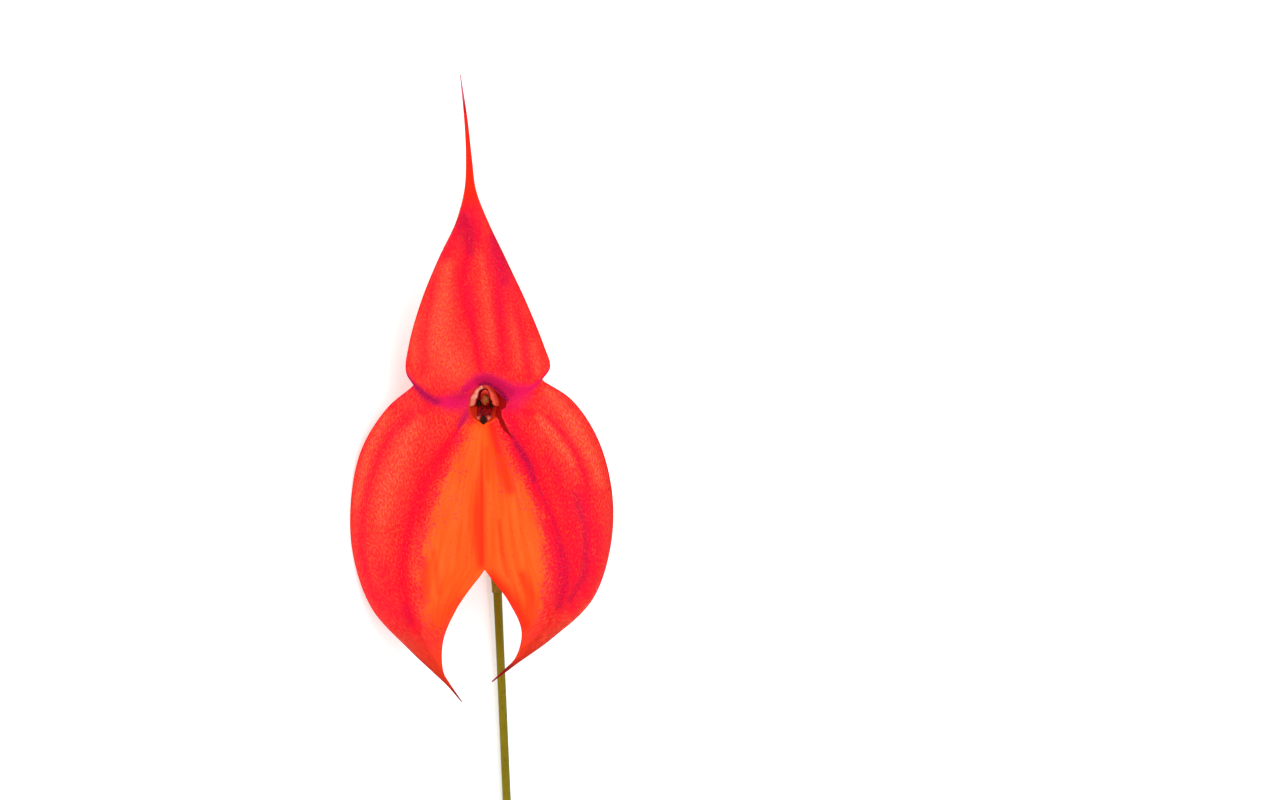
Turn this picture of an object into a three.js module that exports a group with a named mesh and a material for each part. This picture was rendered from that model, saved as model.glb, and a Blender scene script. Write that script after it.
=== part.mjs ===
// A masdevallia orchid bloom, picked with its stem and laid down. Millimetres.
// Everything is modelled in the bloom's own frame: the origin is the centre of the throat, +X is the
// bloom's right, +Y runs up its hood sepal and +Z comes out of its face. The whole bloom is then turned
// onto the surface that it lies on, where it rests on the cut end of the stem, the bend of the ovary and
// the rim of its left side sepal.
import * as THREE from "three";

// ---- driving dimensions ---------------------------------------------------------------------------------
const THROAT_HALF_WIDTH = 3.8;
const THROAT_HALF_HEIGHT = 4.6;
const CUP_RIM_RADIUS = (THROAT_HALF_WIDTH + THROAT_HALF_HEIGHT) / 2;
const THROAT_LIP_Z = -1.6; // where the wall of the cup turns outwards into the blades
const BLADE_THICKNESS = 1.0;
const MARGIN_THICKNESS = 0.62;
const NERVE_RIDGE = 0.22; // how far each nerve stands out of the back of a blade
const NERVE_GROOVE = 0.12; // how deep it lies in the face
const NERVES_AT = [-0.5, 0, 0.5]; // across a blade, from -1 at one edge to 1 at the other
const MARGIN_ROLL = 0.9; // how far a free margin turns back
const MARGIN_START = 1.2; // stations past the end of a seam at which its margin has turned back fully
const SEAT_GAP = 0.3; // between pieces that grow from one another
const STEM_RADIUS = 0.98;
const STEM_NODE_RADIUS = 1.3;
const BRACT_RADIUS = 1.62;
const BRACT_WALL = 0.6;
const PEDICEL_RADIUS = 1.25;
const OVARY_RADIUS = 2.05;

// How the bloom lies: its throat's place above the surface, and the turns that bring the stem down to it.
const THROAT_PLACE = [1.164, 60.901, 17.865];
const PITCH_DEG = 2.067;
const ROLL_DEG = -43.629;

// ---- curves and closed skins ----------------------------------------------------------------------------
const vec = (p) => new THREE.Vector3(...p);
const smooth = (x, low, high) => THREE.MathUtils.smoothstep(x, low, high);
const mix = THREE.MathUtils.lerp;
const rad = THREE.MathUtils.degToRad;

// A smooth curve through points: at(k) is exactly point k, and between two points it runs smoothly.
function through(points) {
  const curve = new THREE.CatmullRomCurve3(points.map(vec), false, "centripetal");
  return (k) => curve.getPoint(k / (points.length - 1));
}

// The same for a list of plain numbers, one for each station.
function along(values) {
  const curve = through(values.map((value, k) => [k, value, 0]));
  return (k) => curve(k).y;
}

// A closed shell between a front and a back skin that share one pattern of triangles.
function shell(front, back, triangles) {
  const count = front.length;
  const faces = [];
  const edges = new Set();
  for (const [a, b, c] of triangles) {
    faces.push(a, b, c, a + count, c + count, b + count);
    for (const [p, q] of [[a, b], [b, c], [c, a]]) edges.add(p + "_" + q);
  }
  for (const edge of edges) {
    const [a, b] = edge.split("_").map(Number);
    if (!edges.has(b + "_" + a)) faces.push(b, a, a + count, b, a + count, b + count);
  }
  return solid([...front, ...back], faces);
}

// A closed skin over a row of rings, with a flat cap at each end.
function loft(rings) {
  const sides = rings[0].length;
  const faces = [];
  for (let i = 0; i + 1 < rings.length; i++) {
    for (let j = 0; j < sides; j++) {
      const a = i * sides + j;
      const b = i * sides + ((j + 1) % sides);
      faces.push(a, b, a + sides, b, b + sides, a + sides);
    }
  }
  const points = rings.flat();
  for (const [ring, first] of [[rings[0], 0], [rings.at(-1), (rings.length - 1) * sides]]) {
    const centre = ring.reduce((sum, p) => sum.add(p), new THREE.Vector3()).divideScalar(sides);
    points.push(centre);
    for (let j = 0; j < sides; j++) {
      const edge = [first + j, first + ((j + 1) % sides)];
      if (first === 0) edge.reverse();
      faces.push(edge[0], edge[1], points.length - 1);
    }
  }
  return solid(points, faces);
}

// A tube wall between outer and inner rings, open at both ends.
function sleeve(outer, inner) {
  const sides = outer[0].length;
  const loop = [...outer, ...inner.slice().reverse()];
  const faces = [];
  for (let i = 0; i < loop.length; i++) {
    const next = (i + 1) % loop.length;
    for (let j = 0; j < sides; j++) {
      const k = (j + 1) % sides;
      const [a, b] = [i * sides + j, i * sides + k];
      const [c, d] = [next * sides + j, next * sides + k];
      faces.push(a, b, c, b, d, c);
    }
  }
  return solid(loop.flat(), faces);
}

function solid(points, faces) {
  const geometry = new THREE.BufferGeometry().setFromPoints(points);
  geometry.setIndex(faces);
  geometry.computeVertexNormals();
  return geometry;
}

// Rings square to a curve. outline(share, angle) is how far from the curve, with angle 0 along `side`.
function ringsAlong(curve, steps, sides, side, outline) {
  const rings = [];
  for (let i = 0; i <= steps; i++) {
    const share = i / steps;
    const tangent = curve.getTangent(share);
    const across = side.clone().addScaledVector(tangent, -side.dot(tangent)).normalize();
    const up = new THREE.Vector3().crossVectors(tangent, across);
    const ring = [];
    for (let j = 0; j < sides; j++) {
      const angle = (2 * Math.PI * j) / sides;
      const [x, y] = outline(share, angle);
      ring.push(curve.getPoint(share).addScaledVector(across, x).addScaledVector(up, y));
    }
    rings.push(ring);
  }
  return rings;
}

const round = (radius, angle) => [radius * Math.cos(angle), radius * Math.sin(angle)];

// ---- the calyx: three sepals grown together -------------------------------------------------------------
// Each sepal is drawn by three lines that run from the throat to the tip of its tail: its nerve down the
// middle and its two edges. Each line has one point for each station. Where two sepals are grown together
// they share an edge.
const COLUMNS = 16; // faces across each sepal
const STATIONS = 12; // stations from the throat to the tip
const STEPS = 2; // rows of faces for each station
const ROWS = STATIONS * STEPS;

const SEAM_HOOD_LEFT = [[-3.23, 1.94, -1.6], [-6.41, 0.9, -0.3], [-10.57, 0.6, 0.6], [-15.69, 4.39, 2.2]];
const SEAM_HOOD_RIGHT = [[3.12, 1.94, -1.6], [5.59, 1.7, -0.3], [9.22, 2, 0.7], [13.05, 5.59, 2.2]];
const SEAM_KEEL = [
  [-0.06, -4.61, -1.6], [-0.04, -8.01, -1], [-0.02, -12.51, -0.6], [0.04, -17.8, -0.2], [0.11, -23.99, 0.4],
  [0.18, -30.47, 1], [0.26, -37.04, 1.7],
];

const HOOD = {
  // from the right edge to the left edge, anticlockwise round the throat
  from: { seam: SEAM_HOOD_RIGHT, free: [
    [13.05, 5.59, 2.2], [14.92, 8.37, 3.6], [13.61, 13.14, 5], [9.76, 22.76, 6.4], [5.53, 31.76, 7.7],
    [1.3, 40.65, 8.7], [-1.5, 47.96, 9.2], [-2.4, 55, 9.1], [-3.28, 63.5, 8], [-4.3, 72.73, 5.2]] },
  nerve: [
    [-0.06, 4.61, -1.6], [-0.19, 7, 0.3], [-0.46, 9.99, 1.2], [-0.83, 13.18, 2], [-1.2, 16.56, 2.8],
    [-1.56, 20.93, 3.7], [-2.01, 27.86, 5.2], [-2.35, 35.27, 6.7], [-2.6, 41.97, 8], [-2.78, 48.38, 8.9],
    [-3.05, 55.01, 9], [-3.74, 63.5, 8], [-4.5, 72.73, 5.2]],
  to: { seam: SEAM_HOOD_LEFT, free: [
    [-15.69, 4.39, 2.2], [-17.4, 7.35, 3.6], [-16.64, 13.74, 5], [-13.78, 23.46, 6.4], [-9.9, 32.75, 7.7],
    [-5.98, 40.65, 8.7], [-4.02, 47.96, 9.2], [-3.7, 55, 9.1], [-4.19, 63.5, 8], [-4.7, 72.73, 5.2]] },
  angles: [25, 155],
  crown: [0, 0.4, 1.0, 1.5, 1.7, 1.7, 1.4, 0.9, 0.4, 0.05, 0, 0, 0],
};

const LEFT_SIDE = {
  from: { seam: SEAM_HOOD_LEFT, free: [
    [-15.69, 4.39, 2.2], [-21.77, -0.89, 4], [-27.27, -9.94, 5.2], [-29.55, -21.37, 5.8],
    [-29.05, -33.49, 6], [-24.82, -45.5, 6.3], [-16.24, -54.81, 7], [-10.35, -60.33, 7.6],
    [-7.75, -62.93, 8], [-5.02, -65.95, 8.2]] },
  nerve: [
    [-3.01, -2.48, -1.6], [-5.25, -4.71, -1.2], [-7.53, -8.01, -0.6], [-10.28, -12.39, 0.4],
    [-13.11, -18.16, 1.9], [-15.73, -24.91, 3.4], [-17.36, -32.35, 4.6], [-17.8, -39.77, 5.6],
    [-16.27, -47.49, 6.4], [-12.66, -54.2, 7.1], [-9.6, -59.93, 7.7], [-7.46, -62.64, 8],
    [-4.87, -65.85, 8.2]],
  to: { seam: SEAM_KEEL, free: [
    [0.26, -37.04, 1.7], [-2.78, -40.87, 3.2], [-6.2, -45.97, 4.8], [-8.97, -52.85, 6.4],
    [-8.87, -59.44, 7.5], [-7.16, -62.34, 8], [-4.72, -65.75, 8.2]] },
  angles: [155, 270],
  crown: [0, 0.5, 1.2, 2.0, 2.6, 2.8, 2.6, 2.2, 1.6, 0.7, 0.05, 0, 0],
};

const RIGHT_SIDE = {
  from: { seam: SEAM_KEEL, free: [
    [0.26, -37.04, 1.7], [2.7, -40.07, 3.2], [5.84, -44.28, 4.8], [8.67, -50.67, 6.4], [7.46, -56.26, 7.6],
    [5, -58.9, 8.2], [2.48, -61.21, 8.6]] },
  nerve: [
    [2.9, -2.48, -1.6], [5.06, -4.81, -1.2], [7.28, -8.21, -0.6], [9.91, -12.59, 0.4],
    [12.54, -18.46, 1.9], [15.37, -25.71, 3.4], [17.88, -32.84, 4.6], [18.39, -39.77, 5.6],
    [16.02, -46.69, 6.4], [12.26, -51.92, 7.1], [7.81, -56.79, 7.8], [5.15, -59.15, 8.2],
    [2.53, -61.36, 8.6]],
  to: { seam: SEAM_HOOD_RIGHT, free: [
    [13.05, 5.59, 2.2], [19.86, 1.1, 4], [25.65, -7.55, 5.2], [28.79, -19.38, 5.8], [28.44, -31.6, 6],
    [24.47, -43.32, 6.3], [15.74, -51.83, 7], [8.16, -57.35, 7.7], [5.35, -59.4, 8.2],
    [2.58, -61.51, 8.6]] },
  angles: [270, 385],
  crown: LEFT_SIDE.crown,
};

// The cup below the throat, from the middle of its floor up to the throat: [radius, height] of each wall.
const CUP_INSIDE = [
  [0, -14.4], [1.5, -14.4], [2.75, -13.9], [3.7, -12.3], [4.45, -9.9], [4.6, -7.2], [4.25, -4.6]];
const CUP_OUTSIDE = [
  [0, -16.2], [1.15, -16.2], [2.15, -16.0], [3.5, -14.2], [5.0, -11.2], [5.45, -8.0], [5.35, -5.0]];

// A sepal's edge, station by station: the seam as far as it is grown together, and then the free margin.
function edgeLine({ seam, free }) {
  const joined = through(seam);
  const margin = through(free);
  const seamStations = seam.length - 1;
  return (k) => (k <= seamStations ? joined(k) : margin(k - seamStations));
}

function calyx() {
  const sepals = [HOOD, LEFT_SIDE, RIGHT_SIDE].map((sepal) => ({
    ...sepal,
    fromLine: edgeLine(sepal.from),
    toLine: edgeLine(sepal.to),
    nerveLine: through(sepal.nerve),
    crownLine: along(sepal.crown),
    fromSeam: sepal.from.seam.length - 1,
    toSeam: sepal.to.seam.length - 1,
  }));
  const middle = []; // the skin half way through the blade
  const half = []; // half the thickness there, in front and behind
  const cupBack = []; // the outer wall, given outright in the cup
  const found = new Map();
  const put = (key, point, front, back, outside = null) => {
    if (!found.has(key)) {
      found.set(key, middle.length);
      middle.push(point);
      half.push([front, back]);
      cupBack.push(outside);
    }
    return found.get(key);
  };

  const ringAngle = (s, col) => rad(mix(sepals[s].angles[0], sepals[s].angles[1], col / COLUMNS));
  const onCup = ([radius, z], angle, level) => {
    // the cup is round at its floor and takes the throat's upright oval as it rises
    const oval = level / (CUP_INSIDE.length - 1);
    const width = radius * mix(1, THROAT_HALF_WIDTH / CUP_RIM_RADIUS, oval);
    const height = radius * mix(1, THROAT_HALF_HEIGHT / CUP_RIM_RADIUS, oval);
    return new THREE.Vector3(width * Math.cos(angle), height * Math.sin(angle), z);
  };
  const cupVertex = (s, level, col) => {
    if (level === 0) {
      return put("floor", vec([0, 0, CUP_INSIDE[0][1]]), 0, 0, vec([0, 0, CUP_OUTSIDE[0][1]]));
    }
    const [ring, at] = col === COLUMNS ? [(s + 1) % 3, 0] : [s, col];
    const angle = ringAngle(s, col);
    const inside = onCup(CUP_INSIDE[level], angle, level);
    return put(`cup${ring}_${level}_${at}`, inside, 0, 0, onCup(CUP_OUTSIDE[level], angle, level));
  };

  const bladeVertex = (s, row, col) => {
    const sepal = sepals[s];
    const k = row / STEPS;
    const v = (2 * col) / COLUMNS - 1; // -1 at one edge, 0 on the nerve, 1 at the other edge
    const [a, m, b] = [sepal.fromLine(k), sepal.nerveLine(k), sepal.toLine(k)];
    // a smooth line across the blade through its three points
    const spread = (p, q, r) => q + (v * (r - p)) / 2 + (v * v * (p + r - 2 * q)) / 2;
    const point = new THREE.Vector3(spread(a.x, m.x, b.x), spread(a.y, m.y, b.y), spread(a.z, m.z, b.z));
    // close to the throat the rows follow the oval of its rim
    const rimShare = 1 - smooth(k, 0, 2);
    const angle = ringAngle(s, col);
    const [ra, rm, rb] = [sepal.fromLine(0), sepal.nerveLine(0), sepal.toLine(0)];
    point.x += rimShare * (THROAT_HALF_WIDTH * Math.cos(angle) - spread(ra.x, rm.x, rb.x));
    point.y += rimShare * (THROAT_HALF_HEIGHT * Math.sin(angle) - spread(ra.y, rm.y, rb.y));
    // each half of the blade is crowned between its nerve and its edge, and a free margin rolls back
    const seamEnd = v < 0 ? sepal.fromSeam : sepal.toSeam;
    const free = smooth(k, seamEnd, seamEnd + MARGIN_START);
    const width = a.distanceTo(b);
    point.z += sepal.crownLine(k) * Math.sin(Math.PI * Math.abs(v)) ** 1.3;
    point.z -= free * MARGIN_ROLL * smooth(Math.abs(v), 0.7, 1) * smooth(width, 4, 16);
    const onNerve = NERVES_AT.some((at) => Math.abs(v - at) < 0.01);
    const nerve = onNerve ? smooth(width, 3, 14) * smooth(k, 0, 2) : 0;
    const thin = free * smooth(Math.abs(v), 0.6, 1);
    const thickness = mix(BLADE_THICKNESS, MARGIN_THICKNESS, Math.max(thin, 1 - smooth(width, 0.6, 8)));
    const front = thickness / 2 - NERVE_GROOVE * nerve;
    const back = thickness / 2 + NERVE_RIDGE * nerve;
    let key = `blade${s}_${row}_${col}`;
    if (col === 0 && k <= sepal.fromSeam) key = `seam${s}_${row}`;
    if (col === COLUMNS && k <= sepal.toSeam) key = `seam${(s + 1) % 3}_${row}`;
    return put(key, point, front, back);
  };

  const triangles = [];
  const quad = (a, b, c, d) => triangles.push([a, b, c], [a, c, d]);
  for (let s = 0; s < 3; s++) {
    for (let col = 0; col < COLUMNS; col++) {
      triangles.push([cupVertex(s, 0, 0), cupVertex(s, 1, col), cupVertex(s, 1, col + 1)]);
      const last = CUP_INSIDE.length - 1;
      for (let level = 1; level < last; level++)
        quad(cupVertex(s, level, col), cupVertex(s, level + 1, col),
          cupVertex(s, level + 1, col + 1), cupVertex(s, level, col + 1));
      quad(cupVertex(s, last, col), bladeVertex(s, 0, col),
        bladeVertex(s, 0, col + 1), cupVertex(s, last, col + 1));
      for (let row = 0; row < ROWS; row++)
        quad(bladeVertex(s, row, col), bladeVertex(s, row + 1, col),
          bladeVertex(s, row + 1, col + 1), bladeVertex(s, row, col + 1));
    }
  }
  const normals = solid(middle, triangles.flat()).getAttribute("normal");
  const offset = (i, distance) =>
    middle[i].clone().addScaledVector(new THREE.Vector3().fromBufferAttribute(normals, i), distance);
  const front = middle.map((p, i) => offset(i, half[i][0]));
  const back = middle.map((p, i) => cupBack[i] ?? offset(i, -half[i][1]));
  return shell(front, back, triangles);
}

// ---- inside the cup: column, anther cap, petals and lip -------------------------------------------------
// The column is a blunt club, rounded above and flat below, that stands on the floor of the cup.
const COLUMN_LINE = [[0, 0.75, -14.1], [0, 0.9, -11], [0, 1.0, -7], [0.2, 1.1, -4.2], [0.28, 1.1, -2.4]];
const COLUMN_HALF_WIDTH = [0.85, 1.0, 1.15, 1.2, 1.05];
function column() {
  const curve = new THREE.CatmullRomCurve3(COLUMN_LINE.map(vec));
  const width = along(COLUMN_HALF_WIDTH);
  const rings = ringsAlong(curve, 12, 16, vec([1, 0, 0]), (share, angle) => {
    const w = width(share * (COLUMN_HALF_WIDTH.length - 1));
    const [x, y] = round(w, angle);
    return [x, y > 0 ? y * 1.15 : y * 0.75];
  });
  return loft(rings);
}

// The cap over the pollen, at the tip of the column.
const ANTHER_CENTRE = [0.3, 0.95, -1.35];
const ANTHER_HALF_SIZE = [0.8, 1.0, 0.62];
function antherCap() {
  const geometry = new THREE.SphereGeometry(1, 14, 10);
  geometry.scale(...ANTHER_HALF_SIZE);
  geometry.translate(...ANTHER_CENTRE);
  return geometry;
}

// A petal is a small stiff plate that stands along the side of the cup. side is -1 for the left one and 1
// for the right one.
const PETAL_THICKNESS = 0.62;
const PETAL_WALL_GAP = 0.5;
const PETAL_HEIGHTS = [-14.1, -12.2, -9.8, -7.2, -4.8, -2.8, -1.0];
const PETAL_OPENING_DEG = [17, 27, 35, 40, 44, 44, 34]; // half the angle it spans, seen from the throat
const PETAL_RAISED_DEG = 38; // the middle of that angle, above the throat's widest place
function petal(side) {
  const columns = 10;
  const steps = 2;
  const rows = (PETAL_HEIGHTS.length - 1) * steps;
  const height = along(PETAL_HEIGHTS);
  const opening = along(PETAL_OPENING_DEG);
  const throat = [[CUP_RIM_RADIUS - BLADE_THICKNESS / 2, THROAT_LIP_Z], [CUP_RIM_RADIUS, 0]];
  const wall = [...CUP_INSIDE.slice(2), ...throat];
  const wallRadius = (z) => {
    const upper = Math.max(1, wall.findIndex((w) => w[1] >= z));
    const [low, high] = [wall[upper - 1], wall[upper]];
    return mix(low[0], high[0], THREE.MathUtils.clamp((z - low[1]) / (high[1] - low[1]), 0, 1));
  };
  const front = [];
  const back = [];
  const triangles = [];
  for (let row = 0; row <= rows; row++) {
    const z = height(row / steps);
    const rise = smooth(z, -14, THROAT_LIP_Z);
    const outer = wallRadius(z) - PETAL_WALL_GAP;
    for (let col = 0; col <= columns; col++) {
      const share = (2 * col) / columns - 1;
      const angle = rad(PETAL_RAISED_DEG + opening(row / steps) * share * side);
      const point = (radius) => new THREE.Vector3(
        side * radius * mix(1, THROAT_HALF_WIDTH / CUP_RIM_RADIUS, rise) * Math.cos(angle),
        radius * mix(1, THROAT_HALF_HEIGHT / CUP_RIM_RADIUS, rise) * Math.sin(angle),
        z - 0.5 * share * share * smooth(z, -3, -1));
      front.push(point(outer - PETAL_THICKNESS));
      back.push(point(outer));
      if (row === rows || col === columns) continue;
      const a = row * (columns + 1) + col;
      const b = a + columns + 1;
      triangles.push([a, b, b + 1], [a, b + 1, a + 1]);
    }
  }
  return shell(front, back, triangles);
}

// The lip is a small tongue under the column. Its dark warty tip hangs out over the rim of the throat.
const LIP_LINE = [[0, -1.35, -13.6], [0, -1.7, -10.5], [0, -1.5, -7], [0, -0.95, -3.8], [0, -1.35, -1.1],
  [-0.1, -2.75, 0.4], [-0.15, -4.3, 0.75]];
const LIP_HALF_WIDTH = [0.55, 0.95, 1.25, 1.5, 1.35, 0.85, 0.5];
const LIP_HALF_THICKNESS = [0.4, 0.45, 0.45, 0.45, 0.5, 0.6, 0.45];
const LIP_WART = 0.12; // of the half thickness
const LIP_WARTY_FROM = 0.72; // of its length
const LIP_WARTS_ROUND = 5;
const LIP_RINGS = 24;
function lip() {
  const curve = new THREE.CatmullRomCurve3(LIP_LINE.map(vec));
  const last = LIP_LINE.length - 1;
  const width = along(LIP_HALF_WIDTH);
  const thickness = along(LIP_HALF_THICKNESS);
  const rings = ringsAlong(curve, LIP_RINGS, 18, vec([1, 0, 0]), (share, angle) => {
    const warty = LIP_WART * smooth(share, LIP_WARTY_FROM, LIP_WARTY_FROM + 0.1);
    const wart = 1 + warty * Math.sin(LIP_WARTS_ROUND * angle) * Math.cos(share * LIP_RINGS * Math.PI);
    return [width(share * last) * wart * Math.cos(angle), thickness(share * last) * wart * Math.sin(angle)];
  });
  return loft(rings);
}

// ---- behind the bloom: ovary, bract and stem ------------------------------------------------------------
// The six-ribbed ovary bends down from the cup and narrows into the stalk that the bract wraps.
const OVARY_LINE = [
  [0, 0, -16.5], [0, -0.15, -17.9], [0.2, -1.9, -20.6], [0.6, -6.4, -22.0], [1.0, -15, -22.3],
  [1.55, -26, -22.15], [1.85, -31, -22.1], [1.98, -34, -22.1], [2.08, -37, -22.1], [2.18, -40, -22.1]];
const OVARY_RIBS = 6;
const RIB_DEPTH = 0.09;
const STALK_END_RADIUS = BRACT_RADIUS - BRACT_WALL - SEAT_GAP;
const OVARY_RADII = [1.7, 1.9, OVARY_RADIUS, 1.95, 1.6, PEDICEL_RADIUS, PEDICEL_RADIUS,
  STALK_END_RADIUS, STALK_END_RADIUS, STALK_END_RADIUS];
function ovary() {
  const curve = new THREE.CatmullRomCurve3(OVARY_LINE.map(vec));
  const radius = along(OVARY_RADII);
  const rings = ringsAlong(curve, 36, 24, vec([1, 0, 0]), (share, angle) => {
    const ribs = 1 + RIB_DEPTH * (1 - smooth(share, 0.4, 0.6)) * Math.cos(OVARY_RIBS * angle);
    return round(radius(share * (OVARY_RADII.length - 1)) * ribs, angle);
  });
  return loft(rings);
}

// The bract is a short papery sheath with a slanting mouth, round the joint between stalk and stem.
const BRACT_LINE = [[2.28, -43.2, -22.1], [2.17, -39, -22.1], [2.0, -34.4, -22.1]];
const BRACT_SLANT = 1.3;
const BRACT_BELLY = 0.04;
const BRACT_RINGS = 8;
const BRACT_SIDES = 16;
function bract() {
  const curve = new THREE.CatmullRomCurve3(BRACT_LINE.map(vec));
  const slanted = (ring, i) => ring.map((p, j) => {
    const slant = BRACT_SLANT * smooth(i / BRACT_RINGS, 0.4, 1) * Math.cos((2 * Math.PI * j) / BRACT_SIDES);
    return p.clone().add(vec([0, slant, 0]));
  });
  const wall = (radius) => ringsAlong(curve, BRACT_RINGS, BRACT_SIDES, vec([1, 0, 0]), (share, angle) =>
    round(radius * (1 + BRACT_BELLY * Math.sin(Math.PI * share)), angle)).map(slanted);
  return sleeve(wall(BRACT_RADIUS), wall(BRACT_RADIUS - BRACT_WALL));
}

// The stem has a swollen node with a short spigot, on which the bract sits, and ends in a plain cut.
const STEM_LINE = [[2.3, -43.5, -22.1], [3.08, -60, -22.1], [4.45, -91, -22.0], [6.3, -130, -21.9],
  [8.0, -165, -22.0], [9.1, -195, -22.3]];
const SPIGOT_LENGTH = 3.2;
function stem() {
  const curve = new THREE.CatmullRomCurve3(STEM_LINE.map(vec));
  const sides = 14;
  const shaft = ringsAlong(curve, 36, sides, vec([1, 0, 0]), (share, angle) =>
    round(mix(STEM_NODE_RADIUS, STEM_RADIUS, smooth(share, 0, 0.1)), angle));
  const top = vec(STEM_LINE[0]);
  const shoulder = ringOf(top, STALK_END_RADIUS, sides);
  const spigotTop = ringOf(top.clone().add(vec([-0.08, SPIGOT_LENGTH, 0])), STALK_END_RADIUS, sides);
  return loft([spigotTop, shoulder, ...shaft]);
}
function ringOf(centre, radius, sides) {
  return Array.from({ length: sides }, (_, j) => {
    const [x, z] = round(radius, (2 * Math.PI * j) / sides);
    return centre.clone().add(vec([x, 0, z]));
  });
}

// ---- the bloom, laid down -------------------------------------------------------------------------------
const finish = (color, roughness) => new THREE.MeshStandardMaterial({ color, roughness, metalness: 0 });
const SEPAL_RED = finish(0xf4301f, 0.55);
const PETAL_PINK = finish(0xe8a08c, 0.4);
const COLUMN_CREAM = finish(0xe4b49a, 0.4);
const ANTHER_OLIVE = finish(0x9a7a34, 0.5);
const LIP_MAROON = finish(0x4a0a0c, 0.35);
const OVARY_BROWN = finish(0x6a3a1c, 0.5);
const BRACT_TAN = finish(0x9c7c34, 0.7);
const STEM_OLIVE = finish(0x86761c, 0.5);

const bloom = new THREE.Group();
function add(name, geometry, material) {
  const mesh = new THREE.Mesh(geometry, material);
  mesh.name = name;
  bloom.add(mesh);
}
add("calyx", calyx(), SEPAL_RED);
add("column", column(), COLUMN_CREAM);
add("anther_cap", antherCap(), ANTHER_OLIVE);
add("petal_left", petal(-1), PETAL_PINK);
add("petal_right", petal(1), PETAL_PINK);
add("lip", lip(), LIP_MAROON);
add("ovary", ovary(), OVARY_BROWN);
add("floral_bract", bract(), BRACT_TAN);
add("stem", stem(), STEM_OLIVE);

bloom.rotation.set(rad(PITCH_DEG), rad(ROLL_DEG), 0, "XYZ");
bloom.position.set(...THROAT_PLACE);

const part = new THREE.Group();
part.add(bloom);
export default part;
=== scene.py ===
"""A masdevallia orchid bloom, picked with its stem and laid on a pale table.

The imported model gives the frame. Each of its plain solids is replaced here by the living surface of the
real piece: the stem, its bract and the ribbed ovary, the three fused sepals, and the small parts that
stand in their cup.
"""

import math

import bpy
import numpy as np
from mathutils import Matrix, Vector


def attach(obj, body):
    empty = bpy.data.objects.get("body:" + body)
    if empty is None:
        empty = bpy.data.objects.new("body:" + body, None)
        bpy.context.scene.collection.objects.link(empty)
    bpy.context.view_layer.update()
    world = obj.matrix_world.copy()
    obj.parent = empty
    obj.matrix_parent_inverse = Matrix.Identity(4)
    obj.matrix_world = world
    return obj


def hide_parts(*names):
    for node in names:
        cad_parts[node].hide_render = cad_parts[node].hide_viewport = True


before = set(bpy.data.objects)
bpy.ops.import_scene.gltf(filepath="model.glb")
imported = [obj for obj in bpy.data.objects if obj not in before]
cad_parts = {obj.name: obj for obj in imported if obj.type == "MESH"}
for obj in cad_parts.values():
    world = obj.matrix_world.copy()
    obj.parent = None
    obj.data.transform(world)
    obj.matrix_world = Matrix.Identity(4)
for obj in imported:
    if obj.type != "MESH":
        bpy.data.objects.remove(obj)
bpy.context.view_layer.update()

# ---- How the bloom lies -------------------------------------------------------------------------
# Each piece is shaped in the bloom's own frame: the throat's centre is the origin, +X is to the right as
# one looks into it, +Y runs up its hood sepal and +Z comes out of its face. It is then laid on the cut end
# of its stem, the bend of its ovary and the edge of its left side sepal.
MM = 0.001
THROAT_PLACE = Vector((1.164, 60.901, 17.865)) * MM
PITCH = 2.067  # degrees
ROLL = -43.629
LAID_DOWN = (Matrix.Translation(THROAT_PLACE)
             @ Matrix.Rotation(math.radians(PITCH), 4, "X")
             @ Matrix.Rotation(math.radians(ROLL), 4, "Y"))


def lay_down(piece):
    piece.data.transform(LAID_DOWN)
    piece.data.update()


# ---- The stem -----------------------------------------------------------------------------------
# A slim green scape, a little ribbed and flecked with purple, swollen where the bract and the ovary's
# stalk sit on it, and cut square at its foot.
STEM_LINE = [
    (2.28, -42.6, -22.1), (3.08, -60, -22.1), (4.45, -91, -22.0), (6.3, -130, -21.9), (8.0, -165, -22.0),
    (9.1, -195, -22.3)]
STEM_RADII = [(0, 0.9), (0.02, 1.0), (0.3, 0.99), (0.8, 0.95), (2, 0.95), (3, 0.96), (4, 0.97), (5, 1.0)]
STEM_FOOT = STEM_LINE[-1][1]
STEM_RINGS, STEM_SIDES = 160, 30
STEM_RIBS = 5
STEM_RIB_HEIGHT = 0.035  # of its radius
STEM_TWIST = 2  # radians from end to end
CUT_RIMS = [(0.07, 0.03), (0.2, -0.02), (0.12, -0.06)]  # width and rise of each ring on its cut end
CUT_REACH = 0.01  # how far from the foot the cut end's faces lie, before it is shaped
PITH_REACH = 0.03  # and after it
PITH_TURN = 0.6  # how much they face along the stem


def through(points):
    """A smooth curve through points: at whole numbers it gives the points themselves."""
    points = [np.array(point, float) for point in points]
    padded = [2 * points[0] - points[1]] + points + [2 * points[-1] - points[-2]]

    def at(k):
        i = max(0, min(int(k), len(points) - 2))
        p0, p1, p2, p3 = padded[i:i + 4]
        d0, d1, d2 = (math.sqrt(math.dist(a, b)) or 1.0 for a, b in ((p0, p1), (p1, p2), (p2, p3)))
        start = ((p1 - p0) / d0 - (p2 - p0) / (d0 + d1) + (p2 - p1) / d1) * d1
        end = ((p2 - p1) / d1 - (p3 - p1) / (d1 + d2) + (p3 - p2) / d2) * d1
        t = k - i
        return (p1 + t * start + t * t * (3 * (p2 - p1) - 2 * start - end)
                + t * t * t * (2 * (p1 - p2) + start + end))
    return at


def smooth(x, low, high):
    """0 under low, 1 over high, and smooth between."""
    t = np.clip((x - low) / (high - low), 0, 1)
    return t * t * (3 - 2 * t)


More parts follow.
